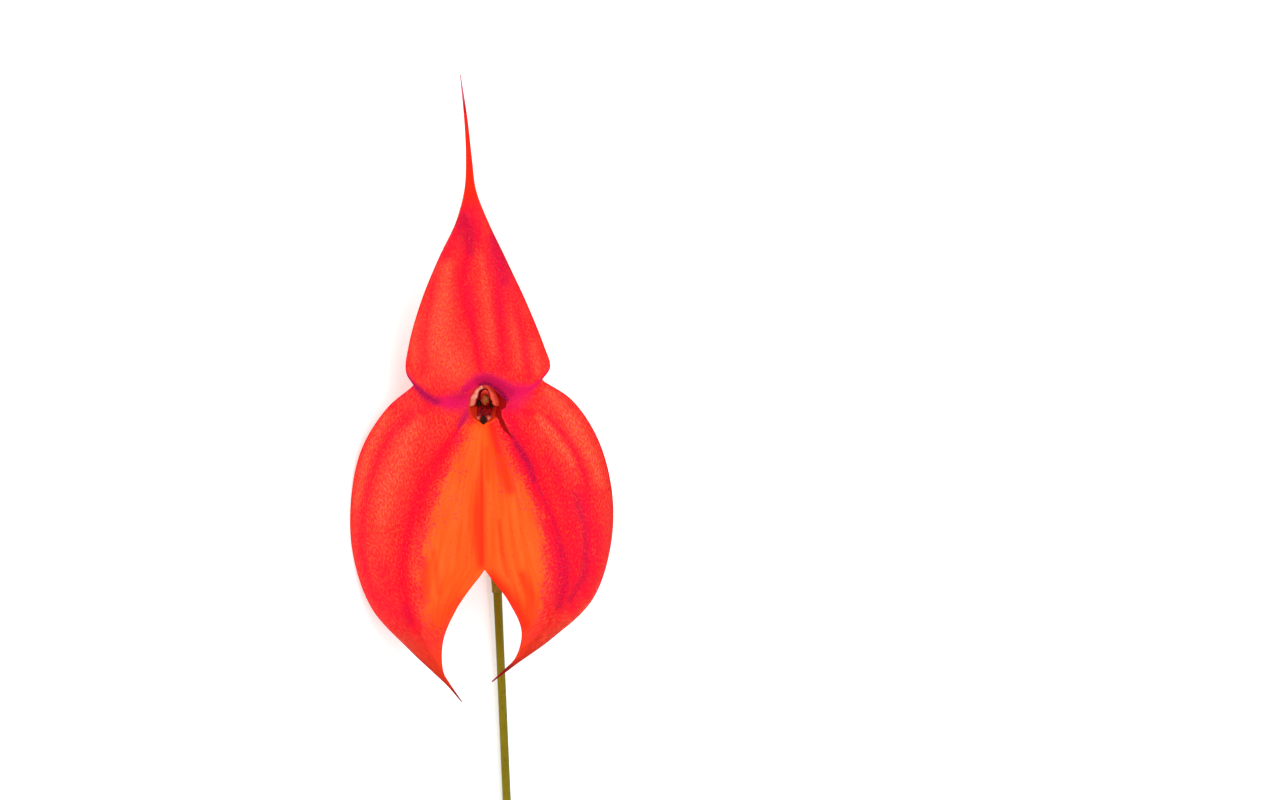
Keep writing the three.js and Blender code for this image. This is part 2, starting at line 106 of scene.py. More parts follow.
def rolled(line, stations, rings, sides, relief=lambda share, angle: 1):
    """The points of a tube round a smooth line, by stations of (place on it, half width, half height)."""
    centre_line, station = through(line), through(stations)
    angle = np.linspace(0, 2 * np.pi, sides + 1)
    points = np.zeros((rings + 1, sides + 1, 3))
    for ring in range(rings + 1):
        share = ring / rings
        k, half_width, half_height = station(share * (len(stations) - 1))
        ahead = centre_line(k + 0.01) - centre_line(k - 0.01)
        ahead /= np.linalg.norm(ahead)
        across = np.array((1.0, 0.0, 0.0)) - ahead[0] * ahead
        across /= np.linalg.norm(across)
        size = relief(share, angle)
        points[ring] = (centre_line(k) + np.outer(size * half_width * np.cos(angle), across)
                        + np.outer(size * half_height * np.sin(angle), np.cross(ahead, across)))
    return points


def lay_grid(name, points, charts=()):
    """A grid with its vertices at points[row, column] and a UV map for each (name, chart).

    It comes with the row and the column of each vertex.
    """
    rows, columns = points.shape[0] - 1, points.shape[1] - 1
    bpy.ops.object.select_all(action="DESELECT")
    bpy.ops.mesh.primitive_grid_add(x_subdivisions=columns, y_subdivisions=rows, size=2)
    grid = bpy.context.object
    grid.name = name
    flat = np.empty(len(grid.data.vertices) * 3)
    grid.data.vertices.foreach_get("co", flat)
    column = np.rint((flat[0::3] + 1) / 2 * columns).astype(int)
    row = np.rint((flat[1::3] + 1) / 2 * rows).astype(int)
    grid.data.vertices.foreach_set("co", (points[row, column] * MM).ravel())
    corner = np.empty(len(grid.data.loops), int)
    grid.data.loops.foreach_get("vertex_index", corner)
    for chart_name, chart in charts:
        layer = grid.data.uv_layers.get(chart_name) or grid.data.uv_layers.new(name=chart_name)
        layer.data.foreach_set("uv", chart[row[corner], column[corner]].ravel())
    grid.data.update()
    return grid, row, column


def close_up(tube):
    """Sews a rolled grid along its joint, closes its two ends and turns its faces outwards."""
    bpy.ops.object.mode_set(mode="EDIT")
    bpy.ops.mesh.select_all(action="SELECT")
    bpy.ops.mesh.remove_doubles(threshold=0.001 * MM)
    bpy.ops.mesh.fill_holes(sides=0)
    bpy.ops.mesh.select_all(action="SELECT")
    bpy.ops.mesh.normals_make_consistent(inside=False)
    bpy.ops.mesh.select_all(action="DESELECT")
    bpy.ops.object.mode_set(mode="OBJECT")
    bpy.ops.object.shade_smooth()
    return tube


def new_material(name, roughness, specular=0.5):
    """A material that is equally glossy all over, and its node tree."""
    material = bpy.data.materials.new(name)
    material.use_nodes = True
    shader = material.node_tree.nodes["Principled BSDF"]
    shader.inputs["Roughness"].default_value = roughness
    shader.inputs["Specular IOR Level"].default_value = specular
    return material, material.node_tree


def linear(red, green, blue):
    """A colour as it looks on a screen, 0 to 255, in the linear values that a shader takes."""
    return [((value / 255 + 0.055) / 1.055) ** 2.4 for value in (red, green, blue)] + [1.0]


def make(tree, kind, inputs=None, **settings):
    """A shader node with its settings, and with a value or another node's output at each named input."""
    made = tree.nodes.new("ShaderNode" + kind)
    for name, value in settings.items():
        setattr(made, name, value)
    for name, value in (inputs or {}).items():
        if isinstance(value, bpy.types.NodeSocket):
            tree.links.new(value, made.inputs[name])
        else:
            made.inputs[name].default_value = value
    return made


def new_effect(name, output, **inputs):
    """A shader node group, with the values given to it and the input of its result."""
    effect = bpy.data.node_groups.new(name, "ShaderNodeTree")
    for input_name, kind in inputs.items():
        effect.interface.new_socket(input_name, in_out="INPUT", socket_type="NodeSocket" + kind)
    effect.interface.new_socket(output, in_out="OUTPUT", socket_type="NodeSocketFloat")
    given = effect.nodes.new("NodeGroupInput").outputs
    return effect, given, effect.nodes.new("NodeGroupOutput").inputs[output]


# Grain is a noise from 0 to 1, finer where its scale is larger and drawn out where it is stretched less.
grain_effect, given, result = new_effect(
    "grain", "Grain", Vector="Vector", Stretch="Vector", Scale="Float", Detail="Float")
stretched = make(grain_effect, "Mapping", {"Vector": given["Vector"], "Scale": given["Stretch"]})
noise = make(grain_effect, "TexNoise", {
    "Vector": stretched.outputs["Vector"], "Scale": given["Scale"], "Detail": given["Detail"]})
grain_effect.links.new(noise.outputs["Fac"], result)


def grain(tree, at, scale, stretch=(1, 1, 1), detail=2.0):
    placed = {"Vector": at, "Stretch": stretch, "Scale": scale, "Detail": detail}
    return make(tree, "Group", placed, node_tree=grain_effect).outputs["Grain"]


def coordinates(tree):
    """Places in space, and on the piece's own UV map."""
    places = make(tree, "TexCoord").outputs
    return places["Object"], places["UV"]


def axis_of(tree, at, axis):
    return make(tree, "SeparateXYZ", {"Vector": at}).outputs[axis]


# A Mix node has sockets for each type of value. These are the ones for colours.
MIX_SHARE, MIX_UNDER, MIX_OVER, MIX_RESULT = 0, 6, 7, 2


def blend(tree, share, under, over):
    """One colour laid over another by a share from 0 to 1."""
    mix = make(tree, "Mix", {MIX_SHARE: share, MIX_UNDER: under, MIX_OVER: over}, data_type="RGBA")
    return mix.outputs[MIX_RESULT]


def coats(tree, colour, *layers):
    """A colour with others laid over it in turn, each as (share, colour)."""
    for share, over in layers:
        colour = blend(tree, share, colour, over)
    return colour


def calculate(tree, operation, *values):
    return make(tree, "Math", dict(enumerate(values)), operation=operation).outputs[0]


def product(tree, *values):
    result = values[0]
    for value in values[1:]:
        result = calculate(tree, "MULTIPLY", result, value)
    return result


def ramp(tree, value, low, high):
    """0 where the value is under low, 1 over high, and smooth between."""
    return make(tree, "MapRange", {"Value": value, "From Min": low, "From Max": high},
                interpolation_type="SMOOTHSTEP").outputs["Result"]


def dress(piece, material, colour, height, depth):
    """Gives a piece a material in this colour, with a relief as deep in millimetres as depth says."""
    tree = material.node_tree
    shader = tree.nodes["Principled BSDF"]
    tree.links.new(colour, shader.inputs["Base Color"])
    bump = make(tree, "Bump", {"Distance": depth * MM, "Height": height})
    tree.links.new(bump.outputs["Normal"], shader.inputs["Normal"])
    piece.data.materials.append(material)


stem_points = rolled(
    STEM_LINE, [(k, radius, radius) for k, radius in STEM_RADII], STEM_RINGS, STEM_SIDES,
    lambda share, angle: 1 + STEM_RIB_HEIGHT * np.cos(STEM_RIBS * angle + STEM_TWIST * share))
stem = close_up(lay_grid("stem_scape", stem_points)[0])
for face in stem.data.polygons:
    face.select = face.center.y / MM < STEM_FOOT + CUT_REACH
bpy.ops.object.mode_set(mode="EDIT")
bpy.ops.mesh.select_mode(type="FACE")
for width, rise in CUT_RIMS:
    bpy.ops.mesh.inset(thickness=width * MM, depth=rise * MM)
bpy.ops.object.mode_set(mode="OBJECT")

stem_skin, tree = new_material("stem_skin", 0.5, 0.08)
in_space, on_stem = coordinates(tree)
fibres = grain(tree, on_stem, 1.0, (26, 30, 1), 3.0)
flecks = ramp(tree, grain(tree, on_stem, 1.0, (14, 190, 1), 1.0), 0.62, 0.7)
# painted sheen: the stem is paler and greener along its left and right flanks
round_angle = product(tree, axis_of(tree, on_stem, "X"), 2 * math.pi)
flank_sheen = calculate(tree, "ABSOLUTE", calculate(tree, "COSINE", round_angle))
colour = coats(
    tree, linear(114, 99, 2),
    (ramp(tree, grain(tree, in_space, 90.0), 0.3, 0.7), linear(126, 110, 6)),
    (product(tree, fibres, 0.3), linear(136, 116, 10)),
    (ramp(tree, flank_sheen, 0.45, 1.0), linear(112, 118, 40)),
    (product(tree, flecks, 0.55), linear(90, 48, 14)))
dress(stem, stem_skin, colour, fibres, 0.12)

cut_pith, tree = new_material("cut_pith", 0.6)
in_space, _ = coordinates(tree)
cells = make(tree, "TexVoronoi", {"Vector": in_space, "Scale": 3600.0}).outputs["Distance"]
strands = ramp(tree, cells, 0.1, 0.5)
dress(stem, cut_pith, blend(tree, strands, linear(120, 118, 50), linear(208, 200, 132)), strands, 0.05)
for face in stem.data.polygons:
    at_foot = face.center.y / MM < STEM_FOOT + PITH_REACH
    face.material_index = 1 if at_foot and abs(face.normal.y) > PITH_TURN else 0

lay_down(stem)
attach(stem, "root")
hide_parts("stem")

# ---- The floral bract ---------------------------------------------------------------------------
# A dry sheath at the joint of the stem and the ovary's stalk. It is one thin leaf, rolled round so that
# its margins overlap, with a mouth that slants up to a point.
BRACT_FOOT = Vector((2.3, -43.2, -22.1))
BRACT_MOUTH = Vector((2.0, -34.4, -22.1))
BRACT_ROWS, BRACT_COLUMNS = 40, 96
BRACT_TURNS = 1.16
BRACT_INNER, BRACT_OUTER = 1.1, 1.22  # its radius at the covered margin and at the margin over it
BRACT_BELLY = 0.25  # more than that towards its mouth
BRACT_VEINS, BRACT_VEIN_HEIGHT = 13, 0.03
BRACT_WAVES, BRACT_WAVE_HEIGHT = 3, 0.06  # round its mouth
BRACT_SLANT = 1.3
BRACT_POINT = 0.5  # radians, the angle at which its mouth reaches highest
BRACT_TEETH, BRACT_TOOTH_HEIGHT = 7, 0.12
BRACT_THICKNESS = 0.13


def thicken(sheet, thickness, **settings):
    """Gives a sheet its thickness in millimetres, half of it to each side."""
    flesh = sheet.modifiers.new("flesh", "SOLIDIFY")
    flesh.thickness = thickness * MM
    flesh.offset = 0
    for name, value in settings.items():
        setattr(flesh, name, value)
    bpy.ops.object.modifier_apply(modifier=flesh.name)


up = np.linspace(0, 1, BRACT_ROWS + 1)[:, None]
turn = np.linspace(0, 1, BRACT_COLUMNS + 1)[None, :]
angle = 2 * np.pi * BRACT_TURNS * turn
radius = BRACT_INNER + (BRACT_OUTER - BRACT_INNER) * turn + BRACT_BELLY * smooth(up, 0, 0.8)
waves = BRACT_WAVE_HEIGHT * smooth(up, 0.8, 1) * np.sin(BRACT_WAVES * angle + 1)
radius = radius + BRACT_VEIN_HEIGHT * np.sin(BRACT_VEINS * angle) + waves
teeth = BRACT_TOOTH_HEIGHT * np.sin(BRACT_TEETH * angle)
slant = smooth(up, 0.4, 1) * (BRACT_SLANT * np.cos(angle - BRACT_POINT) + teeth)
bract_points = np.stack([
    BRACT_FOOT.x + (BRACT_MOUTH.x - BRACT_FOOT.x) * up + radius * np.cos(angle),
    BRACT_FOOT.y + (BRACT_MOUTH.y - BRACT_FOOT.y) * up + slant,
    BRACT_FOOT.z + radius * np.sin(angle)], axis=2)
bract, _, _ = lay_grid("bract_sheath", bract_points)
bpy.ops.object.shade_smooth()
thicken(bract, BRACT_THICKNESS)

bract_paper, tree = new_material("bract_paper", 0.72, 0.1)
in_space, on_bract = coordinates(tree)
veins = grain(tree, on_bract, 1.0, (34, 2.5, 1), 2.0)
colour = coats(
    tree, linear(126, 102, 18),
    (ramp(tree, veins, 0.35, 0.65), linear(150, 122, 50)),
    (ramp(tree, grain(tree, in_space, 420.0, detail=4.0), 0.56, 0.72), linear(108, 74, 22)),
    (ramp(tree, axis_of(tree, on_bract, "Y"), 0.86, 1.0), linear(96, 60, 28)))
dress(bract, bract_paper, colour, veins, 0.15)

lay_down(bract)
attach(bract, "root")
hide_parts("floral_bract")

# ---- The ovary ----------------------------------------------------------------------------------
# The fleshy ovary grows out of the cup's floor and bends down beside it. It has six blunt ribs that turn
# a little as they run, and narrows into the stalk that enters the bract.
OVARY_LINE = [
    (0, 0, -15.6), (0, -0.15, -17.9), (0.2, -1.9, -20.6), (0.6, -6.4, -22.0), (1.0, -15, -22.3),
    (1.55, -26, -22.15), (1.85, -31, -22.1), (1.98, -34, -22.1), (2.18, -40, -22.1)]
OVARY_RADII = [
    (0, 1.7), (0.4, 1.9), (1, 1.85), (2, 2.0), (3, 1.92), (3.5, 1.8), (4, 1.6), (5, 1.22), (6, 1.02),
    (7, 0.92), (8, 0.88)]
OVARY_RINGS, OVARY_SIDES = 150, 72
OVARY_RIBS = 6
OVARY_RIB_HEIGHT = 0.1
OVARY_RIB_START = (0.03, 0.14)  # shares of its length over which the ribs rise
OVARY_RIB_END = (0.4, 0.62)  # and sink again
OVARY_RIB_SHAPE = 0.8  # under 1 they are blunt, with narrow furrows between
OVARY_TWIST = 1.2  # radians from end to end


def ovary_relief(share, angle):
    height = OVARY_RIB_HEIGHT * (1 - smooth(share, *OVARY_RIB_END)) * smooth(share, *OVARY_RIB_START)
    furrow = np.abs(np.sin(OVARY_RIBS / 2 * (angle + OVARY_TWIST * share))) ** OVARY_RIB_SHAPE
    return 1 + height * (1 - 2 * furrow)


# Pimples are low round bumps, each highest in the middle of its cell.
pimples_effect, given, result = new_effect("pimples", "Height", Vector="Vector", Scale="Float")
cells = make(pimples_effect, "TexVoronoi", {"Vector": given["Vector"], "Scale": given["Scale"]},
             feature="SMOOTH_F1")
height = calculate(pimples_effect, "SUBTRACT", 1.0, cells.outputs["Distance"])
pimples_effect.links.new(height, result)


def pimples(tree, at, scale):
    return make(tree, "Group", {"Vector": at, "Scale": scale}, node_tree=pimples_effect).outputs["Height"]


ovary_points = rolled(OVARY_LINE, [(k, radius, radius) for k, radius in OVARY_RADII],
                      OVARY_RINGS, OVARY_SIDES, ovary_relief)
ovary = close_up(lay_grid("ovary_ribbed", ovary_points)[0])

ovary_skin, tree = new_material("ovary_skin", 0.5)
in_space, on_ovary = coordinates(tree)
along_ovary = axis_of(tree, on_ovary, "Y")
streaks = grain(tree, on_ovary, 1.0, (22, 9, 1), 3.0)
ragged_top = calculate(tree, "MULTIPLY_ADD", streaks, 0.03, along_ovary)
colour = coats(
    tree, linear(98, 58, 26),
    (ramp(tree, streaks, 0.3, 0.7), linear(142, 104, 44)),
    (ramp(tree, grain(tree, in_space, 900.0), 0.53, 0.7), linear(92, 32, 24)),
    (ramp(tree, along_ovary, 0.5, 0.75), linear(136, 112, 38)),
    (ramp(tree, ragged_top, 0.15, 0.05), linear(196, 116, 54)))
dress(ovary, ovary_skin, colour, pimples(tree, in_space, 3200.0), 0.1)

lay_down(ovary)
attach(ovary, "root")
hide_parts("ovary")

# ---- The calyx ----------------------------------------------------------------------------------
# Three fleshy sepals, grown together round the cup and along the midline, each ending in a tail. Each is
# drawn by its nerve and its two edges, from the throat to the tip of the tail, with one point in
# millimetres for each station.
SEAM_HOOD_LEFT = [(-3.23, 1.94, -1.6), (-6.41, 0.9, -0.3), (-10.57, 0.6, 0.6), (-15.69, 4.39, 2.2)]
SEAM_HOOD_RIGHT = [(3.12, 1.94, -1.6), (5.59, 1.7, -0.3), (9.22, 2, 0.7), (13.05, 5.59, 2.2)]
SEAM_KEEL = [
    (-0.06, -4.61, -1.6), (-0.04, -8.01, -1), (-0.02, -12.51, -0.6), (0.04, -17.8, -0.2),
    (0.11, -23.99, 0.4), (0.18, -30.47, 1), (0.26, -37.04, 1.7)]
HOOD_SEPAL = {
    "from": (SEAM_HOOD_RIGHT, [
        (13.05, 5.59, 2.2), (14.92, 8.37, 3.6), (13.61, 13.14, 5), (9.76, 22.76, 6.4), (5.53, 31.76, 7.7),
        (1.3, 40.65, 8.7), (-1.5, 47.96, 9.2), (-2.4, 55, 9.1), (-3.34, 63.5, 8), (-5.02, 73.9, 5.0)]),
    "nerve": [
        (-0.06, 4.61, -1.6), (-0.19, 7, 0.3), (-0.46, 9.99, 1.2), (-0.83, 13.18, 2), (-1.2, 16.56, 2.8),
        (-1.56, 20.93, 3.7), (-2.01, 27.86, 5.2), (-2.35, 35.27, 6.7), (-2.6, 41.97, 8),
        (-2.78, 48.38, 8.9), (-3.05, 55.01, 9), (-3.74, 63.5, 8), (-5.12, 73.9, 5.0)],
    "to": (SEAM_HOOD_LEFT, [
        (-15.69, 4.39, 2.2), (-17.4, 7.35, 3.6), (-16.64, 13.74, 5), (-13.78, 23.46, 6.4),
        (-9.9, 32.75, 7.7), (-5.98, 40.65, 8.7), (-4.02, 47.96, 9.2), (-3.7, 55, 9.1), (-4.14, 63.5, 8),
        (-5.22, 73.9, 5.0)]),
    "rim_degrees": (25, 155),
    "crown": [0, 0.4, 1.0, 1.5, 1.7, 1.7, 1.4, 0.9, 0.4, 0.05, 0, 0, 0]}
LEFT_SEPAL = {
    "from": (SEAM_HOOD_LEFT, [
        (-15.69, 4.39, 2.2), (-21.77, -0.89, 4), (-27.27, -9.94, 5.2), (-29.55, -21.37, 5.8),
        (-29.05, -33.49, 6), (-24.82, -45.5, 6.3), (-16.24, -54.81, 7), (-10.35, -60.33, 7.6),
        (-7.7, -62.93, 8), (-4.7, -66.4, 8.2)]),
    "nerve": [
        (-3.01, -2.48, -1.6), (-5.25, -4.71, -1.2), (-7.53, -8.01, -0.6), (-10.28, -12.39, 0.4),
        (-13.11, -18.16, 1.9), (-15.73, -24.91, 3.4), (-17.36, -32.35, 4.6), (-17.8, -39.77, 5.6),
        (-16.27, -47.49, 6.4), (-12.66, -54.2, 7.1), (-9.6, -59.93, 7.7), (-7.46, -62.64, 8),
        (-4.6, -66.35, 8.2)],
    "to": (SEAM_KEEL, [
        (0.26, -37.04, 1.7), (-2.78, -40.87, 3.2), (-6.2, -45.97, 4.8), (-8.97, -52.85, 6.4),
        (-8.87, -59.44, 7.5), (-7.22, -62.34, 8), (-4.5, -66.3, 8.2)]),
    "rim_degrees": (155, 270),
    "crown": [0, 0.5, 1.2, 2.0, 2.6, 2.8, 2.6, 2.2, 1.6, 0.7, 0.05, 0, 0]}
RIGHT_SEPAL = {
    "from": (SEAM_KEEL, [
        (0.26, -37.04, 1.7), (2.7, -40.07, 3.2), (5.84, -44.28, 4.8), (8.67, -50.67, 6.4),
        (7.46, -56.26, 7.6), (5.0, -58.85, 8.2), (2.02, -61.6, 8.6)]),
    "nerve": [
        (2.9, -2.48, -1.6), (5.06, -4.81, -1.2), (7.28, -8.21, -0.6), (9.91, -12.59, 0.4),
        (12.54, -18.46, 1.9), (15.37, -25.71, 3.4), (17.88, -32.84, 4.6), (18.39, -39.77, 5.6),
        (16.02, -46.69, 6.4), (12.26, -51.92, 7.1), (7.81, -56.79, 7.8), (5.15, -59.15, 8.2),
        (2.1, -61.72, 8.6)],
    "to": (SEAM_HOOD_RIGHT, [
        (13.05, 5.59, 2.2), (19.86, 1.1, 4), (25.65, -7.55, 5.2), (28.79, -19.38, 5.8), (28.44, -31.6, 6),
        (24.47, -43.32, 6.3), (15.74, -51.83, 7), (8.16, -57.35, 7.7), (5.35, -59.5, 8.2),
        (2.18, -61.85, 8.6)]),
    "rim_degrees": (270, 385),
    "crown": LEFT_SEPAL["crown"]}
STATIONS = 12
ROWS = 168  # of faces, from the throat to the tip
COLUMNS = 80  # of faces, across each sepal
THROAT_HALF_WIDTH = 3.8
THROAT_HALF_HEIGHT = 4.6
THROAT_STATIONS = 2  # over which the blades leave the throat's oval
CROWN_SHAPE = 1.3  # a higher one makes the crowns narrower
MARGIN_ROLL = 0.9
MARGIN_ROLL_START = 0.7  # of the way from the nerve to the edge
MARGIN_ROLL_WIDTHS = (4, 16)  # a blade is rolled fully from the second width on, and not under the first
MARGIN_START = 1.2  # stations past the end of a seam at which the margin has turned back fully
BLADE_THICKNESS = 0.95
EDGE_WIDTH = 2.6
EDGE_SHARE = 0.4  # of that thickness, at a free margin
TIP_STATIONS = 2.5
TIP_SHARE = 0.4  # and less again, at the end of a tail
KEEL_PLACE = 0.1
KEEL_REACH = 3.2
KEEL_START = (6, 14)  # below the throat's centre
KEEL_FILL = 0.6  # how far the fold between the side sepals is filled in
MAP_UNIT = 10  # a sepal's UV map is in centimetres
MAP_STEP = 8  # between the maps of two sepals


def edge_line(seam, free):
    """A sepal's edge: the seam as far as it is grown together, and then its free margin."""
    joined, margin, last = through(seam), through(free), len(seam) - 1
    return lambda k: joined(k) if k <= last else margin(k - last)


def sepal_surface(sepal):
    """The middle of a sepal's blade: points[row, column], and each one's share of the full thickness."""
    start_line, end_line = edge_line(*sepal["from"]), edge_line(*sepal["to"])
    start_notch, end_notch = len(sepal["from"][0]) - 1, len(sepal["to"][0]) - 1
    nerve_line, crown = through(sepal["nerve"]), through(list(enumerate(sepal["crown"])))
    v = np.linspace(-1, 1, COLUMNS + 1)
    angle = np.radians(np.linspace(*sepal["rim_degrees"], COLUMNS + 1))
    oval = np.stack([THROAT_HALF_WIDTH * np.cos(angle), THROAT_HALF_HEIGHT * np.sin(angle)], axis=1)

    def spread(k):
        a, m, b = start_line(k), nerve_line(k), end_line(k)
        return m + np.outer(v, (b - a) / 2) + np.outer(v * v, (a + b - 2 * m) / 2), math.dist(a, b)
    rim = spread(0)[0]
    points = np.zeros((ROWS + 1, COLUMNS + 1, 3))
    fullness = np.ones((ROWS + 1, COLUMNS + 1))
    for row in range(ROWS + 1):
        k = row * STATIONS / ROWS
        line, width = spread(k)
        line[:, :2] += (1 - smooth(k, 0, THROAT_STATIONS)) * (oval - rim[:, :2])
        line[:, 2] += crown(k)[1] * np.sin(np.pi * np.abs(v)) ** CROWN_SHAPE
        free = np.where(v < 0, smooth(k, start_notch, start_notch + MARGIN_START),
                        smooth(k, end_notch, end_notch + MARGIN_START))
        roll = free * MARGIN_ROLL * smooth(np.abs(v), MARGIN_ROLL_START, 1)
        line[:, 2] -= roll * smooth(width, *MARGIN_ROLL_WIDTHS)
        points[row] = line
        edge_start = 1 - EDGE_WIDTH / max(width, EDGE_WIDTH)
        fullness[row] = 1 - (1 - EDGE_SHARE) * free * smooth(np.abs(v), edge_start, 1)
        fullness[row] *= 1 - (1 - TIP_SHARE) * smooth(k, STATIONS - TIP_STATIONS, STATIONS)
    return points, fullness


# Nerves, seams and patches are drawn on the face as lines of (x, y, half width).
HOOD_NERVE = [
    (-4.5, 43.2, 0.7), (-3.4, 39.1, 1.1), (-3.4, 35.6, 1.1), (-4.5, 28.0, 1.6), (-4.1, 23.5, 1.6),
    (-2.5, 17.3, 1.1), (-1.7, 12.5, 0.8), (-0.9, 7.9, 0.7)]
HOOD_SIDE_NERVE = [
    (2.4, 38.0, 0.7), (3.8, 30.6, 1.4), (3.5, 23.5, 1.1), (4.3, 15.7, 1.1), (4.3, 8.8, 1.1)]
HOOD_TOP_PATCH = [(-4.4, 42.0, 0.9), (-3.7, 40.0, 1.4), (-3.1, 37.2, 1.4), (-2.8, 34.6, 0.9)]
HOOD_RIM_PATCH = [(2.2, 37.4, 0.8), (3.1, 34.7, 1.4), (4.0, 31.5, 1.8), (4.8, 27.5, 1.2)]
HOOD_FAR_LEFT = [(-10.5, 28.0, 0.3), (-11.7, 23.1, 0.6), (-13.1, 14.6, 0.6), (-13.2, 7.9, 0.7)]
HOOD_FAR_RIGHT = [(7.1, 23.5, 0.7), (9.1, 14.1, 0.8), (10.1, 6.5, 0.7)]
LEFT_NERVE = [
    (-5.4, -5.2, 0.9), (-8.9, -9.9, 1.6), (-12.0, -14.8, 2.0), (-14.4, -20.4, 2.0), (-16.3, -26.8, 1.8),
    (-17.7, -33.5, 1.6), (-18.4, -40.3, 1.6), (-16.7, -46.8, 1.6), (-15.1, -49.7, 1.4)]
LEFT_STRIPE = [
    (-16.5, -2.5, 1.1), (-20.5, -6.5, 0.9), (-23.1, -11.6, 0.8), (-25.1, -17.2, 0.7), (-26.6, -24.6, 0.7),
    (-26.9, -32.4, 0.8), (-25.3, -39.8, 0.9), (-23.3, -43.5, 1.1)]
RIGHT_NERVE = [
    (6.3, -7.2, 0.4), (8.1, -10.1, 0.9), (10.2, -13.5, 0.7), (11.3, -17.0, 0.6), (13.4, -20.6, 0.4),
    (15.4, -25.0, 0.4), (17.2, -29.7, 0.5), (18.1, -34.7, 0.9), (18.5, -39.6, 1.0), (17.3, -44.8, 0.7),
    (16.4, -46.2, 0.5)]
RIGHT_STRIPE = [
    (14.4, -2.7, 0.5), (17.8, -6.3, 0.7), (20.5, -10.5, 0.7), (22.8, -15.9, 0.8), (23.9, -21.9, 0.7)]
RIGHT_DARK_STRIPE = [
    (20.8, -19.9, 0.5), (21.5, -22.1, 0.8), (23.0, -27.5, 0.6), (23.2, -32.9, 0.7), (22.8, -38.2, 0.7),
    (19.7, -43.7, 0.6)]
RIGHT_RIM_STRIPE = [(25.9, -27.5, 0.3), (25.5, -32.9, 0.3), (25.0, -35.1, 0.3)]
CREASE_LEFT = [
    (-3.4, 1.9, 0.8), (-6.4, 0.9, 1.0), (-10.6, 0.8, 1.2), (-13.4, 2.1, 0.9), (-15.7, 4.4, 0.5)]
CREASE_RIGHT = [(3.3, 1.9, 0.8), (5.6, 1.7, 1.0), (9.2, 2.4, 1.1), (11.3, 3.9, 0.9), (13.0, 5.6, 0.5)]
BANK = [(3.3, 3.4, 0.7), (4.4, 0.8, 0.9), (3.5, -1.8, 0.8), (4.2, -4.4, 0.8), (5.4, -6.3, 0.4)]
GROOVES = [  # line, how much wider it is than drawn, depth
    (HOOD_NERVE, 1.4, 0.35), (HOOD_SIDE_NERVE, 1.4, 0.3), (HOOD_FAR_RIGHT, 1.5, 0.15),
    (HOOD_FAR_LEFT, 1.5, 0.15), (LEFT_NERVE, 1.1, 0.45), (LEFT_STRIPE, 1.5, 0.2), (RIGHT_NERVE, 2.6, 0.3),
    (RIGHT_STRIPE, 1.5, 0.22), (RIGHT_DARK_STRIPE, 1.8, 0.2), (CREASE_LEFT, 1.4, 0.25),
    (CREASE_RIGHT, 1.4, 0.25), (BANK, 1.8, 0.3)]


def nearness(points, line, spread=1.0):
    """How near each point is to a line of (x, y, half width), from 0 well outside it to 1 on it."""
    best = np.zeros(points.shape[:-1])
    px, py = points[..., 0], points[..., 1]
    for (ax, ay, aw), (bx, by, bw) in zip(line, line[1:]):
        step = np.array([bx - ax, by - ay])
        share = np.clip(((px - ax) * step[0] + (py - ay) * step[1]) / (step @ step), 0, 1)
        distance = np.hypot(px - ax - share * step[0], py - ay - share * step[1])
        width = spread * (aw + share * (bw - aw))
        best = np.maximum(best, np.exp(-(distance / width) ** 2))
    return best


sepal_grids = []
for number, sepal in enumerate((HOOD_SEPAL, LEFT_SEPAL, RIGHT_SEPAL)):
    points, fullness = sepal_surface(sepal)
    for line, spread, depth in GROOVES:
        points[..., 2] -= depth * nearness(points, line, spread)
    # the fold along the midline is rounded off, as far as the two side sepals are joined
    from_keel = np.clip(np.abs(points[..., 0] - KEEL_PLACE) / KEEL_REACH, 0, 1)
    fold = KEEL_FILL * (1 - from_keel) ** 2 * smooth(-points[..., 1], *KEEL_START)
    points[..., 2] += fold * (points[..., 1] < 0)
    # one UV map measures across from the nerve and along from the throat, the other follows the veins
    steps_across = np.linalg.norm(np.diff(points, axis=1, prepend=points[:, :1]), axis=2)
    steps_along = np.linalg.norm(np.diff(points, axis=0, prepend=points[:1]), axis=2)
    across = np.cumsum(steps_across, axis=1)
    across -= across[:, COLUMNS // 2][:, None]
    down = np.cumsum(steps_along, axis=0)
    chart = np.stack([across / MAP_UNIT + MAP_STEP * number, down / MAP_UNIT], axis=2)
    veins = chart.copy()
    veins[..., 0] = np.linspace(-1, 1, COLUMNS + 1) + MAP_STEP * number
    grid, row, column = lay_grid("sepal", points, (("UVMap", chart), ("veins", veins)))
    group = grid.vertex_groups.new(name="fullness")
    for index, share in enumerate(fullness[row, column]):
        group.add([index], float(share), "REPLACE")
    sepal_grids.append(grid)

for grid in sepal_grids:
    grid.select_set(True)
calyx = sepal_grids[0]
bpy.context.view_layer.objects.active = calyx
bpy.ops.object.join()
calyx.name = "calyx_sepals"
bpy.ops.object.mode_set(mode="EDIT")
bpy.ops.mesh.select_all(action="SELECT")
bpy.ops.mesh.remove_doubles(threshold=0.004 * MM)
bpy.ops.mesh.select_all(action="DESELECT")
bpy.ops.object.mode_set(mode="OBJECT")

